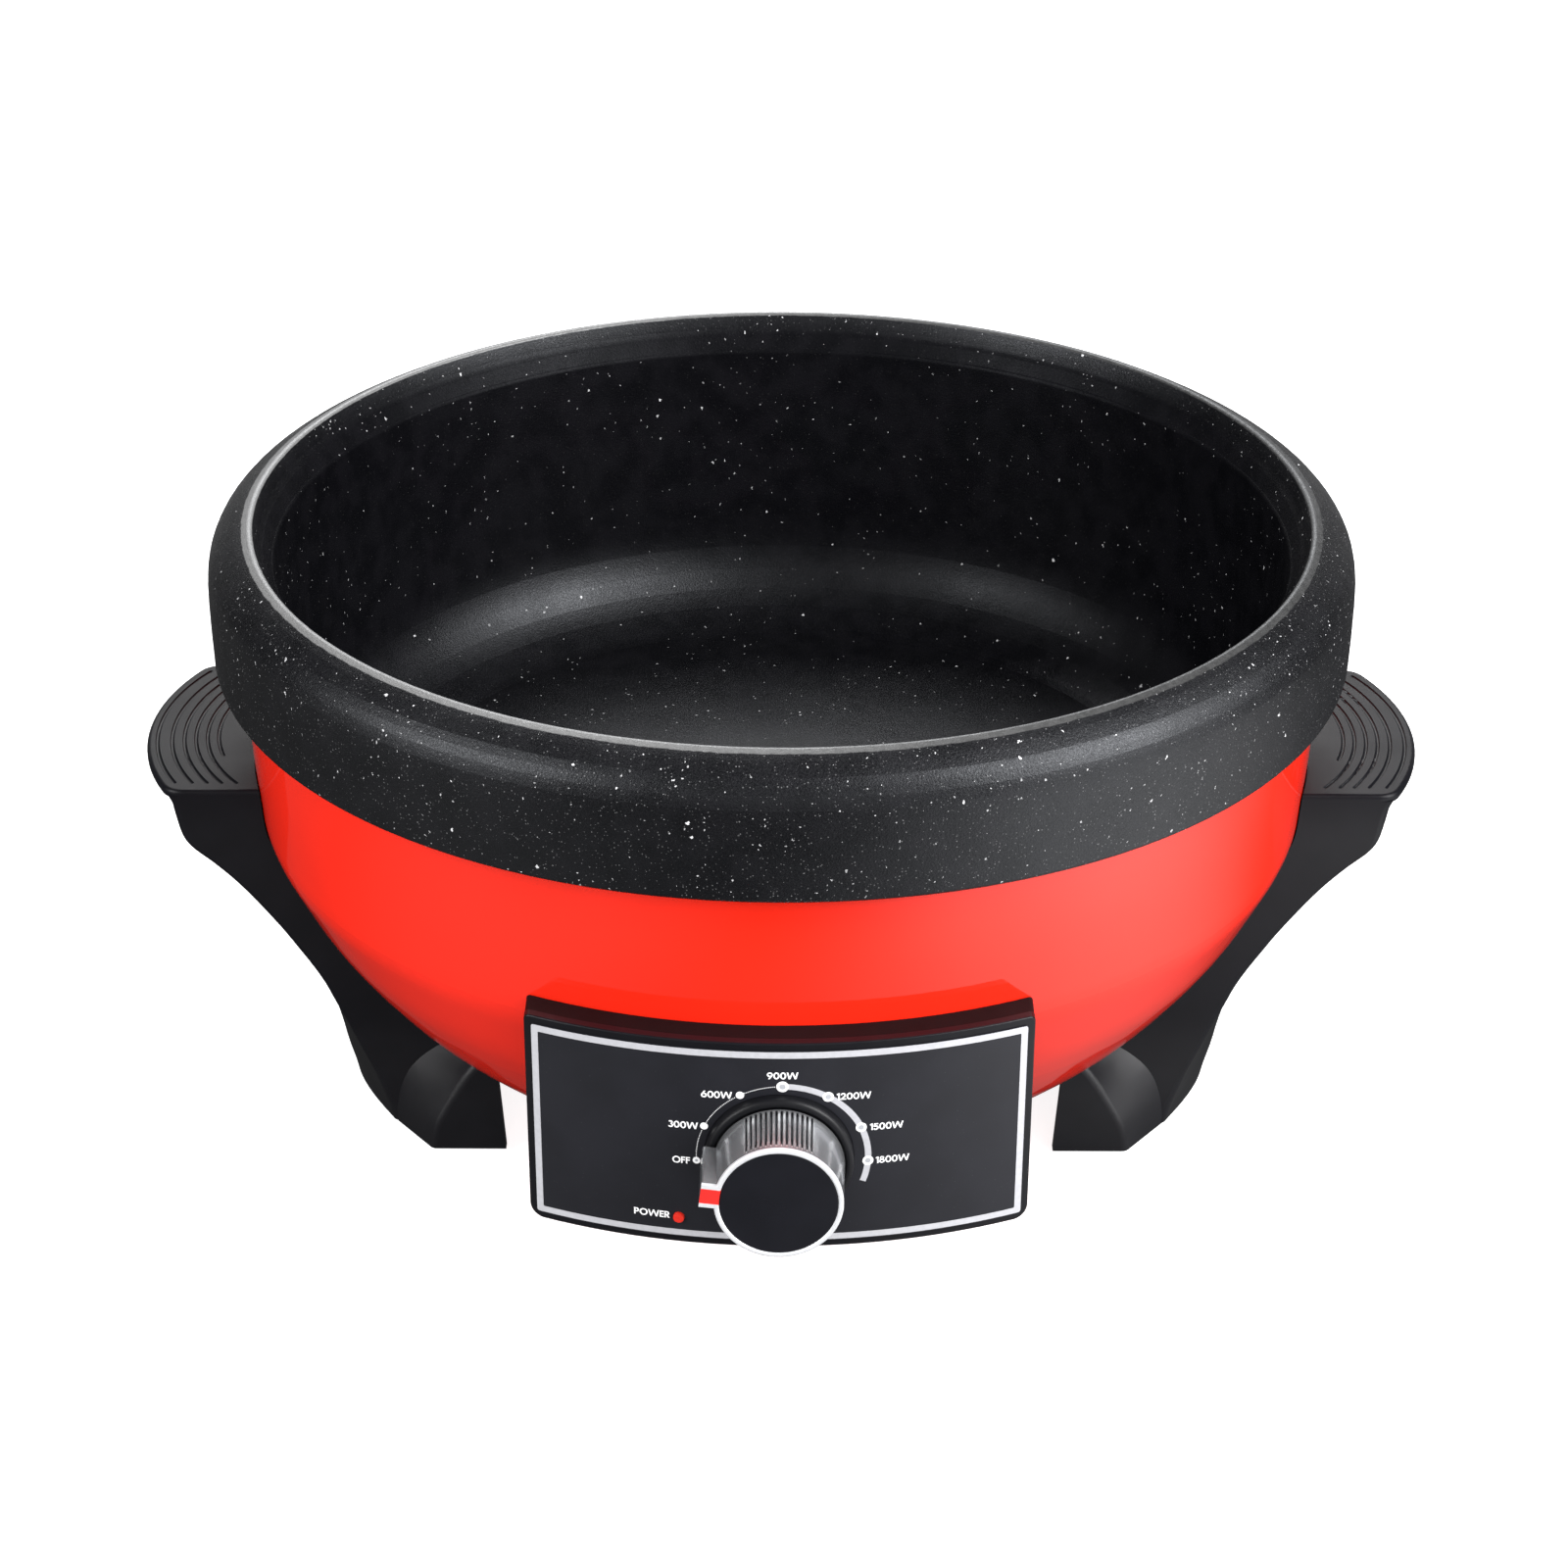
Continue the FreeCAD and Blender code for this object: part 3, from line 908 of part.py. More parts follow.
# from the inlet's tabs under the liner to the block
mw = []
for px, pz in PINS[:2]:
    sx = -1 if px < 0 else 1
    mw.append(wire([(px, IN_Y - 28.0, IN_CZ + pz), (px, 122.0, IN_CZ + pz), (sx * 6.9, 104.0, 50.0), (sx * 6.6, 84.0, 47.0),
                    (sx * 7.0, 66.0, 47.0), (sx * 7.0, TB.y + 7.0, 47.0)], 8.0))
add("mains_wires", group(mw))
# block to regulator, regulator to cut-out, cut-out to element, element to block
live = wire([(-7.0, TB.y - 7.0, 47.0), (-7.0, 20.0, 47.0), (-24.0, -20.0, 44.0), (-22.0, -90.0, 46.0),
             (-10.0, -116.0, 58.0), (-10.0, -131.0, 64.0)])
switched = wire([(0.0, -13.0, 66.8), (0.0, -17.0, 66.8), (0.0, -17.0, 52.0), (4.0, -40.0, 48.0), (14.0, -95.0, 50.0),
                 (10.0, -116.0, 58.0), (10.0, -131.0, 64.0)])
add("control_wires", group([live, switched]))
f1, f2 = END_PTS
hot = wire([(0.0, 13.0, 66.8), (0.0, 17.0, 66.8), (0.0, 17.0, 54.0), (20.0, 4.0, 42.0), (52.0, -46.0, 39.0),
            (f1.x, f1.y, 39.0), (f1.x, f1.y, 45.0)])
neutral = wire([(7.0, TB.y - 7.0, 47.0), (7.0, 24.0, 46.0), (12.0, 8.0, 39.5), (34.0, -36.0, 38.3),
                (f2.x, f2.y, 38.5), (f2.x, f2.y, 45.0)])
add("element_wires", group([hot, neutral]))
lq = LAMP - lamp_n * 17.0
lw = []
for dz, xt, yt, zt in ((-1.5, -16.5, -134.0, 62.2), (1.5, -20.0, -134.0, 79.6)):
    lw.append(wire([(lq.x, lq.y, lq.z + dz), (-20.5 + dz, -137.0, 53.4 + dz * 0.5), (xt, -131.0, 57.0 + dz), (xt, yt, zt),
                    (-10.4, -134.0, zt)], 3.0, 0.6))
add("lamp_wires", group(lw))
earth = [(0.0, IN_Y - 28.0, IN_CZ + 2.0), (0.0, 123.0, IN_CZ + 2.0), (0.0, 113.0, 46.0), (-30.0, 88.0, 41.0),
         (-64.0, 64.0, 38.5), (-74.0, 56.0, 37.6), (-74.0, 46.2, 37.6)]
add("earth_wire", wire(earth, 9.0))
ES = V(-74.0, 40.0, 0)
es = fuse(cyl(1.95, 10.0, ES + V(0, 0, 29.4)), cyl(3.6, 1.6, ES + V(0, 0, 29.4)), cyl(3.4, 2.4, ES + V(0, 0, 33.2)))
add("earth_stud", es)
add("earth_tag", fuse(ring(4.0, 2.05, 0.7, ES + V(0, 0, 32.2)), box(ES.x - 1.6, ES.x + 1.6, ES.y + 3.2, ES.y + 6.2, 32.2, 32.9),
                      box(ES.x - 1.6, ES.x + 1.6, ES.y + 5.6, ES.y + 6.2, 32.2, 38.9)))

# ---------------------------------------------------------------- write the nodes
for name, s in nodes.items():
    bb = s.BoundBox
    ok = s.isValid()
    print("%-22s solids %2d vol %9.0f valid %s  x %.1f..%.1f y %.1f..%.1f z %.1f..%.1f" % (
        name, len(s.Solids), s.Volume, ok, bb.XMin, bb.XMax, bb.YMin, bb.YMax, bb.ZMin, bb.ZMax))
    s.exportStep("parts/%s.step" % name)
print(len(nodes), "nodes")
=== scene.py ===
import json
import math

import bpy
from mathutils import Euler, Matrix, Vector, geometry


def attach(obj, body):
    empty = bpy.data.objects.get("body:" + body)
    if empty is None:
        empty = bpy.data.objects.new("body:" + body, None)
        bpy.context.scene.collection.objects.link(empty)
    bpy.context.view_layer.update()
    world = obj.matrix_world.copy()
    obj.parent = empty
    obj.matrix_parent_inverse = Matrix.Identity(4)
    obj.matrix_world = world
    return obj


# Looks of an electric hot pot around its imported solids. Metres, +Z up, front is -Y.
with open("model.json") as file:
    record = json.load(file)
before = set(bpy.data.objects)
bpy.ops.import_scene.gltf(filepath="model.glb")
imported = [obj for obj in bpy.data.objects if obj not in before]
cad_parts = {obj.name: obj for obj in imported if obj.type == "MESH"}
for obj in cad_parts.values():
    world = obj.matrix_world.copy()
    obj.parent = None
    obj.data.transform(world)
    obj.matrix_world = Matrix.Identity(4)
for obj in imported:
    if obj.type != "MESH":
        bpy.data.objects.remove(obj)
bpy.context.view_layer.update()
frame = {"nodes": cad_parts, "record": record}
NODES = frame["nodes"]
scene = bpy.context.scene
scene.view_settings.view_transform = "Standard"
scene.view_settings.look = "None"

MM = 0.001
PANEL_R = 164.85           # printed face of the control panel, mm
DIAL_S, DIAL_Z = 0.85, 72.5  # centre of the printed dial, along the face and up
DIAL_R = 22.67


# ---------------------------------------------------------------- materials
class Look:
    """A procedural material under construction; positions are object positions in mm."""

    def __init__(self, name, base, rough, metal=0.0, **sockets):
        self.m = bpy.data.materials.new(name)
        self.m.use_nodes = True
        self.t = self.m.node_tree
        self.p = next(n for n in self.t.nodes if n.type == "BSDF_PRINCIPLED")
        self.set("Base Color", (*base, 1.0))
        self.set("Roughness", rough)
        self.set("Metallic", metal)
        for k, v in sockets.items():
            self.set(k.replace("_", " "), v)
        self._mm = None
        self.height = None

    def set(self, socket, value):
        self.p.inputs[socket].default_value = value

    def node(self, kind, **props):
        n = self.t.nodes.new(kind)
        for k, v in props.items():
            setattr(n, k, v)
        return n

    def wire(self, a, b):
        self.t.links.new(a, b)

    def feed(self, socket, value):
        if isinstance(value, (int, float)):
            socket.default_value = value
        elif isinstance(value, tuple):
            socket.default_value = value
        else:
            self.wire(value, socket)

    @property
    def mm(self):
        """Object coordinates in millimetres."""
        if self._mm is None:
            c = self.node("ShaderNodeTexCoord")
            v = self.node("ShaderNodeVectorMath", operation="SCALE")
            self.wire(c.outputs["Object"], v.inputs[0])
            v.inputs["Scale"].default_value = 1000.0
            self._mm = v.outputs[0]
        return self._mm

    def moved(self, vec, offset=(0, 0, 0), scale=(1, 1, 1)):
        n = self.node("ShaderNodeMapping")
        self.wire(vec, n.inputs["Vector"])
        n.inputs["Location"].default_value = offset
        n.inputs["Scale"].default_value = scale
        return n.outputs[0]

    def math(self, op, a, b=0.0, c=0.0, clamp=False):
        n = self.node("ShaderNodeMath", operation=op, use_clamp=clamp)
        self.feed(n.inputs[0], a)
        self.feed(n.inputs[1], b)
        if len(n.inputs) > 2:
            self.feed(n.inputs[2], c)
        return n.outputs[0]

    def span(self, value, a, b, lo=0.0, hi=1.0, smooth=True):
        n = self.node("ShaderNodeMapRange")
        n.interpolation_type = "SMOOTHSTEP" if smooth else "LINEAR"
        self.feed(n.inputs["Value"], value)
        self.feed(n.inputs["From Min"], a)
        self.feed(n.inputs["From Max"], b)
        self.feed(n.inputs["To Min"], lo)
        self.feed(n.inputs["To Max"], hi)
        return n.outputs["Result"]

    def noise(self, size, detail=2.0, vec=None, rough=0.5, distort=0.0):
        """Noise whose features are about size mm across."""
        n = self.node("ShaderNodeTexNoise")
        self.wire(vec if vec is not None else self.mm, n.inputs["Vector"])
        n.inputs["Scale"].default_value = 1.0 / size
        n.inputs["Detail"].default_value = detail
        n.inputs["Roughness"].default_value = rough
        n.inputs["Distortion"].default_value = distort
        return n

    def mix(self, fac, a, b):
        n = self.node("ShaderNodeMix", data_type="RGBA")
        self.feed(n.inputs[0], fac)
        self.feed(n.inputs[6], (*a, 1.0) if isinstance(a, tuple) and len(a) == 3 else a)
        self.feed(n.inputs[7], (*b, 1.0) if isinstance(b, tuple) and len(b) == 3 else b)
        return n.outputs[2]

    def bump(self, height, distance_mm, strength=1.0):
        n = self.node("ShaderNodeBump")
        n.inputs["Strength"].default_value = strength
        n.inputs["Distance"].default_value = distance_mm * MM
        self.wire(height, n.inputs["Height"])
        if self.height is not None:
            self.wire(self.height, n.inputs["Normal"])
        self.height = n.outputs["Normal"]
        self.wire(self.height, self.p.inputs["Normal"])
        return n

    def axes(self):
        s = self.node("ShaderNodeSeparateXYZ")
        self.wire(self.mm, s.inputs[0])
        return s.outputs

    def specks(self, cell, share, radius, seed, vec=None, soft=0.35):
        """Random round flecks: one in each cell of side cell mm with chance share. Mask and tone."""
        v = self.node("ShaderNodeTexVoronoi", feature="F1", voronoi_dimensions="3D")
        self.wire(self.moved(vec if vec is not None else self.mm, (seed * 13.7, seed * 7.3, seed * 3.1)), v.inputs["Vector"])
        v.inputs["Scale"].default_value = 1.0 / cell
        v.inputs["Randomness"].default_value = 1.0
        c = self.node("ShaderNodeSeparateColor")
        self.wire(v.outputs["Color"], c.inputs[0])
        keep = self.math("LESS_THAN", c.outputs["Red"], share)
        size = self.math("MULTIPLY", self.span(c.outputs["Green"], 0.0, 1.0, 0.45, 1.0, False), radius / cell)
        near = self.span(v.outputs["Distance"], size, self.math("MULTIPLY", size, 1.0 - soft), 0.0, 1.0)
        return self.math("MULTIPLY", near, keep), c.outputs["Blue"]


def wear(look, amount=0.08, size=14.0):
    """Slow unevenness of the surface's roughness."""
    base = look.p.inputs["Roughness"].default_value
    n = look.noise(size, 3.0)
    look.wire(look.span(n.outputs["Fac"], 0.3, 0.7, base - amount, base + amount), look.p.inputs["Roughness"])


def tone(look, base, spread, size=6.0):
    """Slow unevenness of the colour."""
    n = look.noise(size, 3.0)
    lo = tuple(c * (1 - spread) for c in base)
    hi = tuple(min(1.0, c * (1 + spread)) for c in base)
    look.wire(look.mix(look.span(n.outputs["Fac"], 0.3, 0.7), lo, hi), look.p.inputs["Base Color"])


def pan_coating():
    L = Look("pan_coating", (0.0028, 0.0028, 0.0036), 0.42, IOR=1.45, Specular_Tint=(0.92, 0.95, 1.0, 1.0))
    # fine orange-peel grain of the sprayed coat
    grain = L.noise(0.62, 3.0, rough=0.62)
    L.bump(grain.outputs["Fac"], 0.125, 0.85)
    bend = L.node("ShaderNodeVectorMath", operation="MULTIPLY_ADD")
    warp = L.noise(0.9, 1.0)
    L.wire(warp.outputs["Color"], bend.inputs[0])
    bend.inputs[1].default_value = (1.1, 1.1, 1.6)
    L.wire(L.mm, bend.inputs[2])
    warped = bend.outputs[0]
    ax = L.axes()
    radial = L.math("SQRT", L.math("ADD", L.math("MULTIPLY", ax[0], ax[0]), L.math("MULTIPLY", ax[1], ax[1])))
    outside = L.span(radial, 149.0, 152.0)
    # shine of the floor, of the curve round it (used unevenly) and of the wall above
    curve = L.span(ax[0], -60.0, 80.0, 0.44, 0.22)
    inner = L.math("MULTIPLY_ADD", L.span(radial, 112.0, 124.0, 1.0, 0.0), L.math("SUBTRACT", 0.50, curve), curve)
    inner = L.math("MULTIPLY_ADD", L.span(ax[2], 102.0, 118.0), L.math("SUBTRACT", 0.08, inner), inner)
    L.wire(L.math("ADD", inner, L.span(outside, 0.0, 1.0, 0.0, 0.42, False)), L.p.inputs["Specular IOR Level"])
    # flecks: dust, small, medium and a few large ones; denser in patches on the outside
    patch = L.noise(34.0, 2.0)
    dense = L.span(patch.outputs["Fac"], 0.42, 0.62, 0.25, 1.0)
    dense = L.math("MULTIPLY", dense, L.span(outside, 0.0, 1.0, 0.55, 1.0, False))
    color = L.mix(L.span(L.noise(9.0, 3.0).outputs["Fac"], 0.35, 0.65), (0.0020, 0.0020, 0.0027), (0.0036, 0.0035, 0.0045))
    for cell, share, radius, seed, lo, hi, vec in (
            (0.85, 0.60, 0.25, 1, 0.020, 0.105, None),
            (1.7, 0.55, 0.34, 2, 0.10, 0.60, warped),
            (3.6, 0.42, 0.55, 3, 0.25, 0.85, warped),
            (12.0, 0.22, 0.95, 4, 0.40, 0.95, warped)):
        mask, t = L.specks(cell, share, radius, seed, vec)
        if cell > 1:
            mask = L.math("MULTIPLY", mask, L.math("GREATER_THAN", dense, L.math("FRACT", L.math("MULTIPLY", t, 7.13))))
        shade = L.span(t, 0.0, 1.0, lo, hi, False)
        # painted shade: the flecks are drawn dimmer inside the pan than outside, the finest dust much dimmer
        shade = L.math("MULTIPLY", shade, L.span(outside, 0.0, 1.0, 0.60 if cell > 1 else 0.12, 1.0, False))
        tint = L.node("ShaderNodeCombineColor")
        for k, f in enumerate((1.0, 1.0, 1.02)):
            L.feed(tint.inputs[k], L.math("MULTIPLY", shade, f))
        color = L.mix(mask, color, tint.outputs[0])
    # painted highlight: a narrow bright, slightly metallic band round the top of the lip, lighter on the left than on
    # the right where the lights fall
    top = 1000.0 * max(v.co.z for v in NODES["cooking_pan"].data.vertices)
    edge = L.math("ADD", ax[2], L.span(L.noise(3.0, 2.0).outputs["Fac"], 0.3, 0.7, -0.05, 0.05))
    edge = L.span(edge, top - 0.72, top - 0.55)
    # painted highlight level: brighter towards the left side of the lip, dimmer towards the right
    rim_highlight_level = L.span(ax[0], -90.0, 110.0, 0.19, 0.05)
    rim_highlight_level = L.math("ADD", rim_highlight_level, L.span(L.noise(2.0, 2.0).outputs["Fac"], 0.3, 0.7, -0.01, 0.01))
    painted_rim_highlight = L.node("ShaderNodeCombineColor")
    for k in range(3):
        L.feed(painted_rim_highlight.inputs[k], rim_highlight_level)
    L.wire(L.mix(edge, color, painted_rim_highlight.outputs[0]), L.p.inputs["Base Color"])
    L.wire(L.math("MULTIPLY", edge, 0.42), L.p.inputs["Metallic"])
    r = L.noise(22.0, 2.0)
    sparkle = L.span(L.noise(0.42, 2.0).outputs["Fac"], 0.35, 0.65, -0.08, 0.08)
    flat = L.span(radial, 96.0, 112.0, 0.355, 0.39)
    L.wire(L.math("ADD", L.math("ADD", flat, sparkle), L.span(r.outputs["Fac"], 0.3, 0.7, 0.0, 0.06)), L.p.inputs["Roughness"])
    return L.m


def red_paint():
    base = (0.80, 0.0190, 0.0065)
    L = Look("red_paint", base, 0.40, Coat_Weight=1.0, Coat_Roughness=0.04, Specular_IOR_Level=0.0)
    tone(L, base, 0.03, 40.0)
    L.bump(L.noise(2.6, 1.0).outputs["Fac"], 0.010, 0.35)
    return L.m


def plastic(name, base, rough, grain=0.30, depth=0.020, spread=0.10, level=0.5):
    L = Look(name, base, rough, Specular_IOR_Level=level)
    tone(L, base, spread, 11.0)
    wear(L, 0.03, 18.0)
    L.bump(L.noise(grain, 2.0).outputs["Fac"], depth, 0.5)
    return L.m


def leg_plastic():
    """Moulded black; the grips on top are more matt than the legs."""
    base = (0.0046, 0.0046, 0.0064)
    L = Look("black_plastic", base, 0.38)
    tone(L, base, 0.10, 11.0)
    wear(L, 0.03, 18.0)
    L.bump(L.noise(0.34, 2.0).outputs["Fac"], 0.022, 0.5)
    z = L.axes()[2]
    low = L.span(z, 45.0, 12.0, 0.28, 0.70)
    L.wire(L.math("MULTIPLY", low, L.span(z, 98.0, 118.0, 1.0, 0.60)), L.p.inputs["Specular IOR Level"])
    return L.m


def panel_film():
    base = (0.0098, 0.0100, 0.0138)
    L = Look("panel_film", base, 0.46, Specular_IOR_Level=0.40)
    mask, t = L.specks(0.9, 0.30, 0.20, 5)
    dark = L.mix(L.span(L.noise(16.0, 3.0).outputs["Fac"], 0.3, 0.7), tuple(c * 0.9 for c in base), tuple(c * 1.12 for c in base))
    color = L.mix(L.math("MULTIPLY", mask, L.span(t, 0.0, 1.0, 0.1, 0.8, False)), dark, (0.035, 0.036, 0.040))
    m2, t2 = L.specks(7.0, 0.35, 0.42, 6)
    color = L.mix(L.math("MULTIPLY", m2, 0.6), color, (0.060, 0.060, 0.066))
    L.wire(color, L.p.inputs["Base Color"])
    L.bump(L.noise(0.26, 2.0).outputs["Fac"], 0.022, 0.6)
    return L.m


def ink(name, base, rough, metal):
    L = Look(name, base, rough, metal)
    tone(L, base, 0.04, 1.2)
    L.bump(L.noise(0.22, 1.0).outputs["Fac"], 0.006, 0.4)
    return L.m


def metal(name, base, rough, grain, spread=0.06, stretch=None):
    """Plated or drawn metal with fine marks; stretch draws the marks out along an axis."""
    L = Look(name, base, rough, 1.0)
    vec = L.moved(L.mm, (0, 0, 0), stretch) if stretch else L.mm
    n = L.noise(grain, 3.0, vec)
    L.wire(L.span(n.outputs["Fac"], 0.3, 0.7, rough * 0.8, min(1.0, rough * 1.25)), L.p.inputs["Roughness"])
    tone(L, base, spread, grain * 9)
    L.bump(n.outputs["Fac"], 0.010, 0.35)
    return L.m


def liner_steel():
    """Pressed sheet with fine circular marks from spinning, slightly blued where it runs hot."""
    L = Look("liner_steel", (0.62, 0.62, 0.61), 0.26, 1.0)
    ax = L.axes()
    radial = L.math("SQRT", L.math("ADD", L.math("MULTIPLY", ax[0], ax[0]), L.math("MULTIPLY", ax[1], ax[1])))
    c = L.node("ShaderNodeCombineXYZ")
    L.wire(radial, c.inputs[0])
    L.feed(c.inputs[1], L.math("MULTIPLY", ax[2], 1.0))
    marks = L.noise(0.7, 3.0, c.outputs[0])
    L.wire(L.span(marks.outputs["Fac"], 0.3, 0.7, 0.20, 0.34), L.p.inputs["Roughness"])
    L.bump(marks.outputs["Fac"], 0.012, 0.4)
    hot = L.span(L.math("ABSOLUTE", L.math("SUBTRACT", radial, 79.0)), 34.0, 8.0)
    hot = L.math("MULTIPLY", hot, L.span(L.noise(30.0, 3.0).outputs["Fac"], 0.35, 0.65, 0.35, 1.0))
    L.wire(L.mix(hot, (0.62, 0.62, 0.61), (0.46, 0.40, 0.33)), L.p.inputs["Base Color"])
    return L.m


def knob_centre():
    """Where the knob turns, from the disc on its front, in object mm."""
    co = [v.co for v in NODES["knob_cap"].data.vertices]
    mid = [500.0 * (min(c[k] for c in co) + max(c[k] for c in co)) for k in (0, 2)]
    return mid[0], mid[1], 1000.0 * min(c[1] for c in co)


def knob_silver():
    """Plated knob; painted shade darkens the grooves of its grip, and painted highlights lighten the ribs and the small
    points where the grooves end.
    """
    base = (0.46, 0.47, 0.49)
    L = Look("knob_silver", base, 0.26, 0.85, Coat_Weight=0.5, Coat_Roughness=0.08)
    cx, cz, front = knob_centre()
    ax = L.axes()
    x = L.math("SUBTRACT", ax[0], cx)
    z = L.math("ABSOLUTE", L.math("SUBTRACT", ax[2], cz))
    turn = L.math("MULTIPLY", L.math("ARCTAN2", x, z), 180.0 / math.pi)
    wave = L.math("COSINE", L.math("MULTIPLY", turn, 2.0 * math.pi / 4.6))
    grip = L.math("LESS_THAN", L.math("ABSOLUTE", turn), 32.2)
    depth = L.math("SUBTRACT", ax[1], front)
    along = L.span(depth, 2.05, 2.35)
    grip = L.math("MULTIPLY", grip, L.math("MULTIPLY", along, L.span(depth, 17.4, 16.6)))
    # painted shade in the grooves of the grip, painted highlight on the ribs between them
    groove_shade = L.math("MULTIPLY", L.span(wave, -0.05, -0.70), grip)
    rib_highlight = L.math("MULTIPLY", L.span(wave, 0.1, 0.8), grip)
    n = L.noise(0.8, 2.0)
    silver = L.mix(L.span(n.outputs["Fac"], 0.3, 0.7), (0.45, 0.46, 0.48), (0.47, 0.48, 0.50))
    silver = L.mix(L.math("MULTIPLY", rib_highlight, 0.8), silver, (0.78, 0.79, 0.81))
    silver = L.mix(groove_shade, silver, (0.030, 0.031, 0.035))
    # painted highlight: small bright points at the front ends of the grooves
    point = L.math("MULTIPLY", L.span(wave, -0.55, -0.85), L.math("LESS_THAN", L.math("ABSOLUTE", turn), 32.2))
    point = L.math("MULTIPLY", point, L.span(L.math("ABSOLUTE", L.math("SUBTRACT", depth, 2.0)), 0.42, 0.25))
    L.wire(L.mix(point, silver, (0.95, 0.95, 0.96)), L.p.inputs["Base Color"])
    L.bump(L.noise(0.12, 1.0).outputs["Fac"], 0.002, 0.3)
    return L.m


def knob_bezel():
    """Bright ring on the knob's front; its inner land is black like the disc."""
    base = (0.80, 0.81, 0.84)
    L = Look("bright_ring", base, 0.24, 0.40)
    cx, cz, front = knob_centre()
    ax = L.axes()
    x = L.math("SUBTRACT", ax[0], cx)
    z = L.math("SUBTRACT", ax[2], cz)
    r = L.math("SQRT", L.math("ADD", L.math("MULTIPLY", x, x), L.math("MULTIPLY", z, z)))
    rim = 1000.0 * max(v.co.x for v in NODES["knob_ring"].data.vertices) - cx
    bright = L.span(r, rim - 1.38, rim - 1.30)
    n = L.noise(1.2, 2.0)
    pale = L.mix(L.span(n.outputs["Fac"], 0.3, 0.7), (0.78, 0.79, 0.82), (0.82, 0.83, 0.86))
    L.wire(L.mix(bright, (0.0054, 0.0056, 0.0085), pale), L.p.inputs["Base Color"])
    L.wire(L.math("MULTIPLY", bright, 0.40), L.p.inputs["Metallic"])
    L.bump(L.noise(0.22, 1.0).outputs["Fac"], 0.004, 0.4)
    return L.m


def lens_red():
    L = Look("red_lens", (0.62, 0.022, 0.012), 0.12, Coat_Weight=0.6, Coat_Roughness=0.05,
             Emission_Color=(0.9, 0.05, 0.02, 1.0), Emission_Strength=0.06)
    tone(L, (0.62, 0.022, 0.012), 0.08, 0.6)
    return L.m


def ceramic():
    base = (0.80, 0.77, 0.70)
    L = Look("ceramic", base, 0.35)
    tone(L, base, 0.06, 2.0)
    L.bump(L.noise(0.5, 3.0).outputs["Fac"], 0.03, 0.5)
    return L.m


def element_sheath():
    """Oxidised sheath: blotched dark brown-grey."""
    L = Look("element_sheath", (0.13, 0.12, 0.11), 0.48, 0.85)
    n = L.noise(5.0, 4.0)
    L.wire(L.mix(L.span(n.outputs["Fac"], 0.35, 0.65), (0.085, 0.078, 0.072), (0.20, 0.18, 0.16)), L.p.inputs["Base Color"])
    L.bump(L.noise(0.35, 2.0).outputs["Fac"], 0.02, 0.5)
    return L.m


def lamp_glass():
    L = Look("lamp_glass", (0.92, 0.62, 0.48), 0.06, Transmission_Weight=0.85, IOR=1.45)
    tone(L, (0.92, 0.62, 0.48), 0.05, 3.0)
    return L.m


M = {
    "pan_coating": pan_coating(),
    "red_paint": red_paint(),
    "black_plastic": leg_plastic(),
    "panel_film": panel_film(),
    "black_gloss": plastic("black_gloss", (0.0054, 0.0056, 0.0085), 0.30, 0.22, 0.006, level=0.40),
    "knob_silver": knob_silver(),
    "bright_ring": knob_bezel(),
    "red_mark": plastic("red_mark", (0.68, 0.018, 0.014), 0.34, 0.2, 0.004, 0.04),
    "red_lens": lens_red(),
    "liner_steel": liner_steel(),
    "element_sheath": element_sheath(),
    "bracket_steel": metal("bracket_steel", (0.60, 0.60, 0.58), 0.34, 0.5),
    "screw_steel": metal("screw_steel", (0.68, 0.68, 0.67), 0.28, 0.3),
    "ceramic": ceramic(),
    "dark_moulding": plastic("dark_moulding", (0.045, 0.032, 0.024), 0.42, 0.3, 0.02, 0.15),
    "pale_moulding": plastic("pale_moulding", (0.74, 0.72, 0.64), 0.40, 0.4, 0.02, 0.05),
    "cap_aluminium": metal("cap_aluminium", (0.75, 0.75, 0.76), 0.30, 0.4),
    "foot_rubber": plastic("foot_rubber", (0.022, 0.022, 0.022), 0.75, 0.25, 0.04, 0.15, 0.3),
    "lamp_glass": lamp_glass(),
    "brass_plated": metal("brass_plated", (0.72, 0.68, 0.55), 0.26, 0.35),
    "wire_cover": plastic("wire_cover", (0.66, 0.66, 0.62), 0.52, 0.3, 0.02, 0.06),
    "earth_cover": plastic("earth_cover", (0.16, 0.40, 0.05), 0.50, 0.3, 0.02, 0.10),
    "print_white": ink("print_white", (0.90, 0.90, 0.91), 0.45, 0.0),
    "print_silver": ink("print_silver", (0.50, 0.50, 0.53), 0.40, 0.18),
    "print_grey": ink("print_grey", (0.42, 0.43, 0.46), 0.45, 0.2),
}

# painted shade: the control housing gets a darker, less shiny copy of the black plastic because it sits in shade under
# the shell
M["housing_shaded_black"] = plastic("housing_shaded_black", (0.0030, 0.0030, 0.0036), 0.55, 0.34, 0.022, level=0.12)
M["collar_black"] = plastic("collar_black", (0.0042, 0.0043, 0.0056), 0.42, 0.22, 0.008, level=0.26)

slot_of = {s["node"]: s["material_slot"] for s in frame["record"]["subparts"]}
for name, ob in NODES.items():
    ob.data.materials.clear()
    ob.data.materials.append(M[{"control_housing": "housing_shaded_black", "dial_collar": "collar_black"}.get(name, slot_of[name])])


# ---------------------------------------------------------------- print on the panel
def on_face(s, z, lift):
    """A point on the curved face: s mm along it, z mm up, lift mm off it."""
    a = s / PANEL_R
    r = PANEL_R + lift
    return (r * math.sin(a) * MM, -r * math.cos(a) * MM, z * MM)


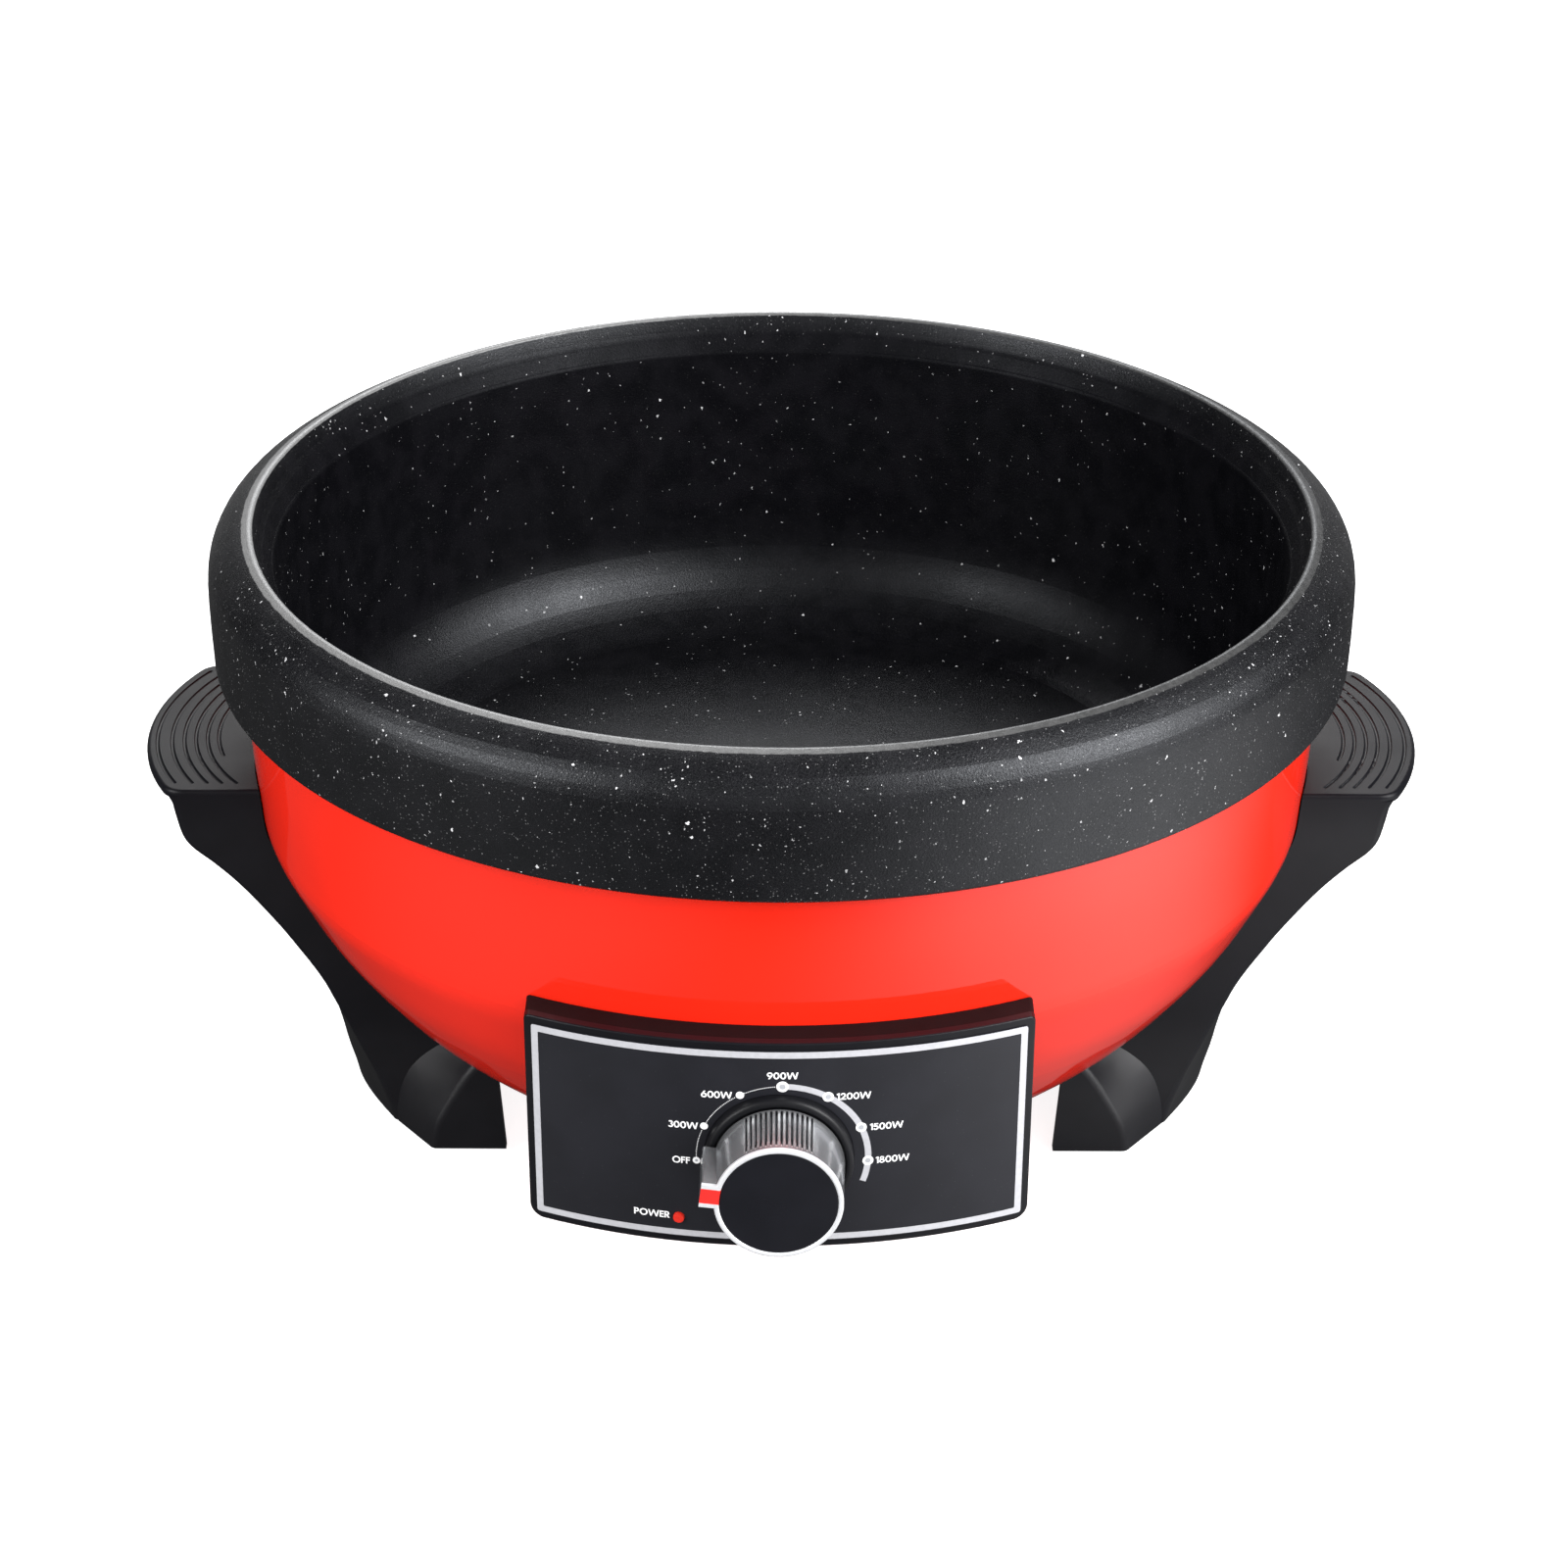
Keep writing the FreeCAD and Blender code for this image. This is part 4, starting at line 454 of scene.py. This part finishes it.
def plate(name, verts, faces, mat, top=0.03, low=-0.02):
    """A thin closed piece on the panel's face from a flat mesh in (s, z)."""
    n = len(verts)
    co = [on_face(s, z, top) for s, z in verts] + [on_face(s, z, low) for s, z in verts]
    edges = {}
    polys = []
    for f in faces:
        area = sum(verts[f[i]][0] * verts[f[(i + 1) % len(f)]][1] - verts[f[(i + 1) % len(f)]][0] * verts[f[i]][1]
                   for i in range(len(f)))
        if area < 0:
            f = tuple(reversed(f))
        polys.append(tuple(f))
        polys.append(tuple(n + i for i in reversed(f)))
        for i in range(len(f)):
            e = (f[i], f[(i + 1) % len(f)])
            if (e[1], e[0]) in edges:
                del edges[(e[1], e[0])]
            else:
                edges[e] = True
    for a, b in edges:
        polys.append((b, a, n + a, n + b))
    me = bpy.data.meshes.new(name)
    me.from_pydata(co, [], polys)
    me.validate()
    me.update()
    ob = bpy.data.objects.new(name, me)
    scene.collection.objects.link(ob)
    me.materials.append(mat)
    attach(ob, "base")
    return ob


def band(outer, inner, closed=True):
    """Quads between two lines of the same number of points."""
    k = len(outer)
    verts = list(outer) + list(inner)
    faces = [(i, (i + 1) % k, k + (i + 1) % k, k + i) for i in range(k if closed else k - 1)]
    return verts, faces


def joined(parts):
    verts, faces = [], []
    for v, f in parts:
        o = len(verts)
        verts += list(v)
        faces += [tuple(i + o for i in q) for q in f]
    return verts, faces


def disc(cs, cz, r, n=28):
    pts = [(cs + r * math.cos(2 * math.pi * i / n), cz + r * math.sin(2 * math.pi * i / n)) for i in range(n)]
    return [(cs, cz)] + pts, [(0, 1 + i, 1 + (i + 1) % n) for i in range(n)]


def rect_loop(s1, z0, z1, r, step=1.5):
    """Rounded rectangle, symmetric in s, with the same count of points for any size."""
    cs, cz = 0.0, (z0 + z1) / 2
    hs, hz = s1 - r, (z1 - z0) / 2 - r
    pts = []
    for qx, qz, a0 in ((1, 1, 0), (-1, 1, 90), (-1, -1, 180), (1, -1, 270)):
        for i in range(5):
            a = math.radians(a0 + 90 * i / 4)
            pts.append((cs + qx * hs + r * math.cos(a), cz + qz * hz + r * math.sin(a)))
        last = pts[-1]
        nxt = {(1, 1): (-hs, cz + hz + r), (-1, 1): (-hs - r, cz - hz), (-1, -1): (hs, cz - hz - r), (1, -1): (hs + r, cz + hz)}[(qx, qz)]
        count = 88 if qx * qz > 0 else 40
        for i in range(1, count):
            t = i / count
            pts.append((last[0] + (nxt[0] - last[0]) * t, last[1] + (nxt[1] - last[1]) * t))
    return pts


v, f = band(rect_loop(66.85, 46.55, 105.72, 0.7), rect_loop(64.95, 48.40, 103.80, 0.35))
plate("panel_border", v, f, M["print_silver"])


def dial_at(deg, r=DIAL_R):
    """Point of the dial's circle at deg clockwise from the top."""
    a = math.radians(deg)
    return DIAL_S + r * math.sin(a), DIAL_Z + r * math.cos(a)


arc_o = [dial_at(110.0 * i / 72, DIAL_R + 0.85) for i in range(73)]
arc_i = [dial_at(110.0 * i / 72, DIAL_R - 0.85) for i in range(73)]
v, f = band(arc_o, arc_i, closed=False)
plate("dial_arc", v, f, M["print_silver"])

MARKS = ((-93.6, 1.02), (-65.0, 1.06), (-29.2, 1.10), (0.0, 1.62), (31.7, 1.48), (66.0, 1.46), (93.5, 1.46))
v, f = joined([disc(*dial_at(a), r) for a, r in MARKS])
plate("dial_dots", v, f, M["print_white"], 0.045)
v, f = joined([disc(*dial_at(a), r * (0.52 if r > 1.3 else 0.36), 20) for a, r in MARKS if r > 1.3 or a < -90])
plate("dial_dot_centres", v, f, M["print_grey"], 0.060, 0.0)

dots = []
a = -91.0
while a < -4.6:
    if abs(a + 65.0) > 3.0 and abs(a + 29.2) > 3.1:
        dots.append(disc(*dial_at(a), 0.14, 8))
    a += 1.28
v, f = joined(dots)
plate("dial_fine_line", v, f, M["print_white"], 0.03)


# ---------------------------------------------------------------- lettering: bold round strokes, unit cap height
def seg(x0, y0, x1, y1, w):
    """A thick line cut level at both ends if it leans, square if it is level."""
    if abs(y1 - y0) < 1e-6:
        return [(x0, y0 - w / 2), (x1, y0 - w / 2), (x1, y0 + w / 2), (x0, y0 + w / 2)], []
    h = w / 2 * math.hypot(x1 - x0, y1 - y0) / abs(y1 - y0)
    return [(x0 - h, y0), (x0 + h, y0), (x1 + h, y1), (x1 - h, y1)], []


def bowl(cx, cy, rx, ry, a0, a1, w):
    n = max(6, int(abs(a1 - a0) / 9))
    an = [math.radians(a0 + (a1 - a0) * i / n) for i in range(n + 1)]
    out = [(cx + rx * math.cos(t), cy + ry * math.sin(t)) for t in an]
    inn = [(cx + (rx - w) * math.cos(t), cy + (ry - w * 0.9) * math.sin(t)) for t in reversed(an)]
    return out + inn, []


def oval(cx, cy, rx, ry, w):
    an = [2 * math.pi * i / 36 for i in range(36)]
    return ([(cx + rx * math.cos(t), cy + ry * math.sin(t)) for t in an],
            [[(cx + (rx - w) * math.cos(t), cy + (ry - w * 0.88) * math.sin(t)) for t in an]])


def turned(shapes, width):
    """The glyph turned upside down, for the 9 from the 6."""
    return [([(width - x, 1 - y) for x, y in o], [[(width - x, 1 - y) for x, y in h] for h in hs]) for o, hs in shapes]


W = 0.20
SIX = [oval(0.385, 0.335, 0.385, 0.345, W), seg(0.135, 0.46, 0.50, 1.0, W * 0.98)]
GLYPHS = {
    "O": ([oval(0.55, 0.5, 0.55, 0.53, W * 1.05)], 1.10),
    "0": ([oval(0.395, 0.5, 0.395, 0.52, W)], 0.79),
    "F": ([seg(0.10, 0, 0.10, 1, W), seg(0, 0.91, 0.56, 0.91, 0.18), seg(0, 0.53, 0.52, 0.53, 0.18)], 0.57),
    "E": ([seg(0.10, 0, 0.10, 1, W), seg(0, 0.91, 0.58, 0.91, 0.18), seg(0, 0.51, 0.55, 0.51, 0.17), seg(0, 0.09, 0.58, 0.09, 0.18)], 0.59),
    "P": ([seg(0.10, 0, 0.10, 1, W), seg(0.1, 0.91, 0.36, 0.91, 0.18), seg(0.1, 0.45, 0.36, 0.45, 0.18),
           bowl(0.34, 0.68, 0.33, 0.32, -90, 90, W)], 0.68),
    "R": ([seg(0.10, 0, 0.10, 1, W), seg(0.1, 0.91, 0.36, 0.91, 0.18), seg(0.1, 0.48, 0.36, 0.48, 0.17),
           bowl(0.34, 0.695, 0.32, 0.305, -90, 90, W), seg(0.60, 0, 0.30, 0.50, W * 1.05)], 0.74),
    "W": ([seg(0.36, 0, 0.10, 1, W), seg(0.36, 0, 0.74, 1, W * 0.9), seg(1.12, 0, 0.74, 1, W * 0.9), seg(1.12, 0, 1.38, 1, W)], 1.48),
    "1": ([seg(0.31, 0, 0.31, 1, W), ([(0.22, 1.0), (0.0, 0.86), (0.10, 0.70), (0.30, 0.82)], [])], 0.41),
    "2": ([bowl(0.38, 0.67, 0.345, 0.35, -32, 172, W), seg(0.19, 0.10, 0.575, 0.53, W), seg(0.0, 0.09, 0.75, 0.09, 0.18)], 0.76),
    "3": ([bowl(0.33, 0.735, 0.29, 0.285, -80, 158, W), bowl(0.33, 0.30, 0.34, 0.32, -158, 85, W)], 0.67),
    "5": ([seg(0.14, 0.91, 0.64, 0.91, 0.18), seg(0.13, 0.50, 0.22, 1.0, W * 0.95), bowl(0.33, 0.325, 0.36, 0.345, -155, 122, W)], 0.70),
    "6": (SIX, 0.77),
    "8": ([oval(0.38, 0.75, 0.29, 0.27, W * 0.92), oval(0.38, 0.295, 0.37, 0.315, W)], 0.76),
    "9": (turned(SIX, 0.77), 0.77),
}
GAP = 0.055


def within(p, loop):
    x, y = p
    hit = False
    for i in range(len(loop)):
        x0, y0 = loop[i]
        x1, y1 = loop[i - 1]
        if (y0 > y) != (y1 > y) and x < (x1 - x0) * (y - y0) / (y1 - y0) + x0:
            hit = not hit
    return hit


def glyph_mesh(shapes):
    """Triangles of the union of the shapes."""
    pts, edges = [], []
    for outer, holes in shapes:
        for loop in [outer] + holes:
            o = len(pts)
            pts += [Vector(p) for p in loop]
            edges += [(o + i, o + (i + 1) % len(loop)) for i in range(len(loop))]
    vs, es, fs, *_ = geometry.delaunay_2d_cdt(pts, edges, [], 0, 1e-5)
    keep = []
    for t in fs:
        c = (sum(vs[i].x for i in t) / len(t), sum(vs[i].y for i in t) / len(t))
        if any(within(c, o) and not any(within(c, h) for h in hs) for o, hs in shapes):
            keep.append(tuple(t))
    used = sorted({i for t in keep for i in t})
    new = {i: k for k, i in enumerate(used)}
    return [(vs[i].x, vs[i].y) for i in used], [tuple(new[i] for i in t) for t in keep]


def label(name, text, s, z, cap, anchor="start"):
    wide = sum(GLYPHS[c][1] for c in text) + GAP * (len(text) - 1)
    x = s / cap if anchor == "start" else s / cap - wide if anchor == "end" else s / cap - wide / 2
    parts = []
    for c in text:
        shapes, w = GLYPHS[c]
        gv, gf = glyph_mesh(shapes)
        parts.append(([((x + px) * cap, z + py * cap) for px, py in gv], gf))
        x += w + GAP
    v, f = joined(parts)
    return plate(name, v, f, M["print_white"], 0.03)


CAP = 2.04
label("label_off", "OFF", -23.45, 69.8, CAP, "end")
label("label_300w", "300W", -21.3, 80.9, CAP, "end")
label("label_600w", "600W", -12.3, 91.1, CAP, "end")
label("label_900w", "900W", 0.85, 97.5, CAP, "middle")
label("label_1200w", "1200W", 14.95, 90.7, CAP)
label("label_1500w", "1500W", 23.8, 80.6, CAP)
label("label_1800w", "1800W", 25.5, 70.0, CAP)
label("label_power", "POWER", -29.1, 51.75, CAP, "end")

# ---------------------------------------------------------------- stage, lights and camera
def sheet(name, x, y, z, half_x, half_y):
    """A flat horizontal stage mesh."""
    q = bpy.data.meshes.new(name)
    q.from_pydata([(x - half_x, y - half_y, z), (x + half_x, y - half_y, z), (x + half_x, y + half_y, z), (x - half_x, y + half_y, z)],
                  [], [(0, 1, 2, 3)])
    ob = bpy.data.objects.new(name, q)
    scene.collection.objects.link(ob)
    return ob


floor = sheet("floor", 0, 0, -0.0003, 9, 9)
L = Look("floor_paper", (0.60, 0.60, 0.60), 0.6, Specular_IOR_Level=0.0)
tone(L, (0.60, 0.60, 0.60), 0.01, 60.0)
L.set("Emission Color", (1.0, 1.0, 1.0, 1.0))
L.set("Emission Strength", 0.87)
floor.data.materials.append(L.m)
floor.visible_glossy = False
floor.visible_diffuse = False

# what polished surfaces see of the table: brighter to the right and behind, dim in front
glow = sheet("table_glow", 0, 0, -0.0001, 2.2, 2.2)
glow.visible_camera = False
glow.visible_diffuse = False
glow.visible_shadow = False
glow.visible_transmission = False
gm = bpy.data.materials.new("table_glow")
gm.use_nodes = True
gt = gm.node_tree
gt.nodes.clear()


def gnode(kind, **props):
    n = gt.nodes.new(kind)
    for k, v in props.items():
        setattr(n, k, v)
    return n


def patch_of_light(cx, cy, rx, ry, strength):
    """A soft round patch on the table, in metres."""
    m = gnode("ShaderNodeMapping")
    gt.links.new(g_pos, m.inputs["Vector"])
    m.inputs["Location"].default_value = (-cx / rx, -cy / ry, 0.0)
    m.inputs["Scale"].default_value = (1 / rx, 1 / ry, 0.0)
    ln = gnode("ShaderNodeVectorMath", operation="LENGTH")
    gt.links.new(m.outputs[0], ln.inputs[0])
    r = gnode("ShaderNodeMapRange", interpolation_type="SMOOTHSTEP")
    gt.links.new(ln.outputs["Value"], r.inputs["Value"])
    r.inputs["From Min"].default_value = 1.0
    r.inputs["From Max"].default_value = 0.2
    r.inputs["To Min"].default_value = 0.0
    r.inputs["To Max"].default_value = strength
    return r.outputs["Result"]


g_pos = gnode("ShaderNodeTexCoord").outputs["Object"]
total = None
for args in ((0.58, -0.40, 0.52, 0.60, 2.8), (-0.75, -0.10, 0.55, 0.70, 0.15), (0.0, 0.95, 1.2, 0.8, 0.5),
             (0.24, -0.26, 0.30, 0.30, 0.95), (-0.26, -0.30, 0.30, 0.30, 0.30),
             (0.0, 0.0, 6.0, 6.0, 0.05)):
    o = patch_of_light(*args)
    if total is None:
        total = o
    else:
        ad = gnode("ShaderNodeMath", operation="ADD")
        gt.links.new(total, ad.inputs[0])
        gt.links.new(o, ad.inputs[1])
        total = ad.outputs[0]
em = gnode("ShaderNodeEmission")
em.inputs["Color"].default_value = (1, 1, 1, 1)
gt.links.new(total, em.inputs["Strength"])
gt.links.new(em.outputs[0], gnode("ShaderNodeOutputMaterial").inputs["Surface"])
glow.data.materials.append(gm)

world = bpy.data.worlds.new("studio")
scene.world = world
world.use_nodes = True
bg = next(n for n in world.node_tree.nodes if n.type == "BACKGROUND")
bg.inputs["Color"].default_value = (1.0, 1.0, 1.0, 1.0)
bg.inputs["Strength"].default_value = 0.56
world.cycles_visibility.glossy = False


def softbox(name, direction, distance, size, size_y, radiance, target=(0, 0, 0.1), glossy=True, diffuse=True):
    """A rectangular light facing the target; radiance is the brightness of its face."""
    d = Vector(direction).normalized()
    li = bpy.data.lights.new(name, "AREA")
    li.shape = "RECTANGLE"
    li.size, li.size_y = size, size_y
    li.energy = radiance * math.pi * size * size_y
    ob = bpy.data.objects.new(name, li)
    scene.collection.objects.link(ob)
    ob.location = Vector(target) + d * distance
    ob.rotation_euler = (-d).to_track_quat("-Z", "Y").to_euler()
    ob.visible_camera = False
    ob.visible_glossy = glossy
    ob.visible_diffuse = diffuse
    return ob


softbox("softbox_left", (-0.73, -0.41, 0.45), 1.6, 0.70, 0.80, 9.5)
softbox("softbox_right", (0.68, -0.33, 0.56), 1.6, 0.95, 1.05, 12.4)
softbox("softbox_back", (-0.08, 0.64, 0.76), 1.7, 0.85, 0.55, 8.6)
softbox("backdrop", (0.0, 0.92, 0.38), 1.9, 1.7, 0.8, 1.6, diffuse=False)
softbox("backdrop_mid", (0.06, 0.86, 0.50), 1.85, 0.50, 0.60, 4.2, diffuse=False)
softbox("wing_left", (-0.55, 0.83, 0.10), 1.9, 0.8, 0.5, 0.45, diffuse=False)
softbox("wing_right", (0.55, 0.83, 0.10), 1.9, 0.8, 0.5, 0.50, diffuse=False)
softbox("softbox_right_low", (0.84, -0.44, 0.22), 1.6, 0.9, 0.9, 2.3)
softbox("softbox_left_low", (-0.80, -0.52, 0.20), 1.6, 0.9, 0.9, 1.3)
softbox("front_glow", (0.10, -0.95, 0.24), 1.8, 1.1, 0.8, 0.8, diffuse=False)
softbox("fill_low_right", (0.50, -0.85, 0.08), 1.6, 0.9, 0.5, 2.6, glossy=False)
softbox("fill_top", (0.05, -0.30, 0.95), 2.0, 1.8, 1.6, 1.4, glossy=False)
softbox("fill_front", (0.20, -0.90, 0.42), 1.8, 1.6, 1.0, 2.6, glossy=False)

cam_data = bpy.data.cameras.new("camera")
cam_data.lens = 36.0 * 3559.6 / 1600.0
cam_data.sensor_width = 36.0
cam_data.clip_start, cam_data.clip_end = 0.05, 40.0
camera = bpy.data.objects.new("camera", cam_data)
scene.collection.objects.link(camera)
el = math.radians(28.405)
look = Vector((0.0, math.cos(el), -math.sin(el)))
base_rot = look.to_track_quat("-Z", "Y").to_matrix()
camera.rotation_euler = (base_rot @ Matrix.Rotation(0.0042, 3, "Z")).to_euler()
camera.location = Vector((0.0009, 0.0, 0.09533)) - look * 1.050
scene.camera = camera
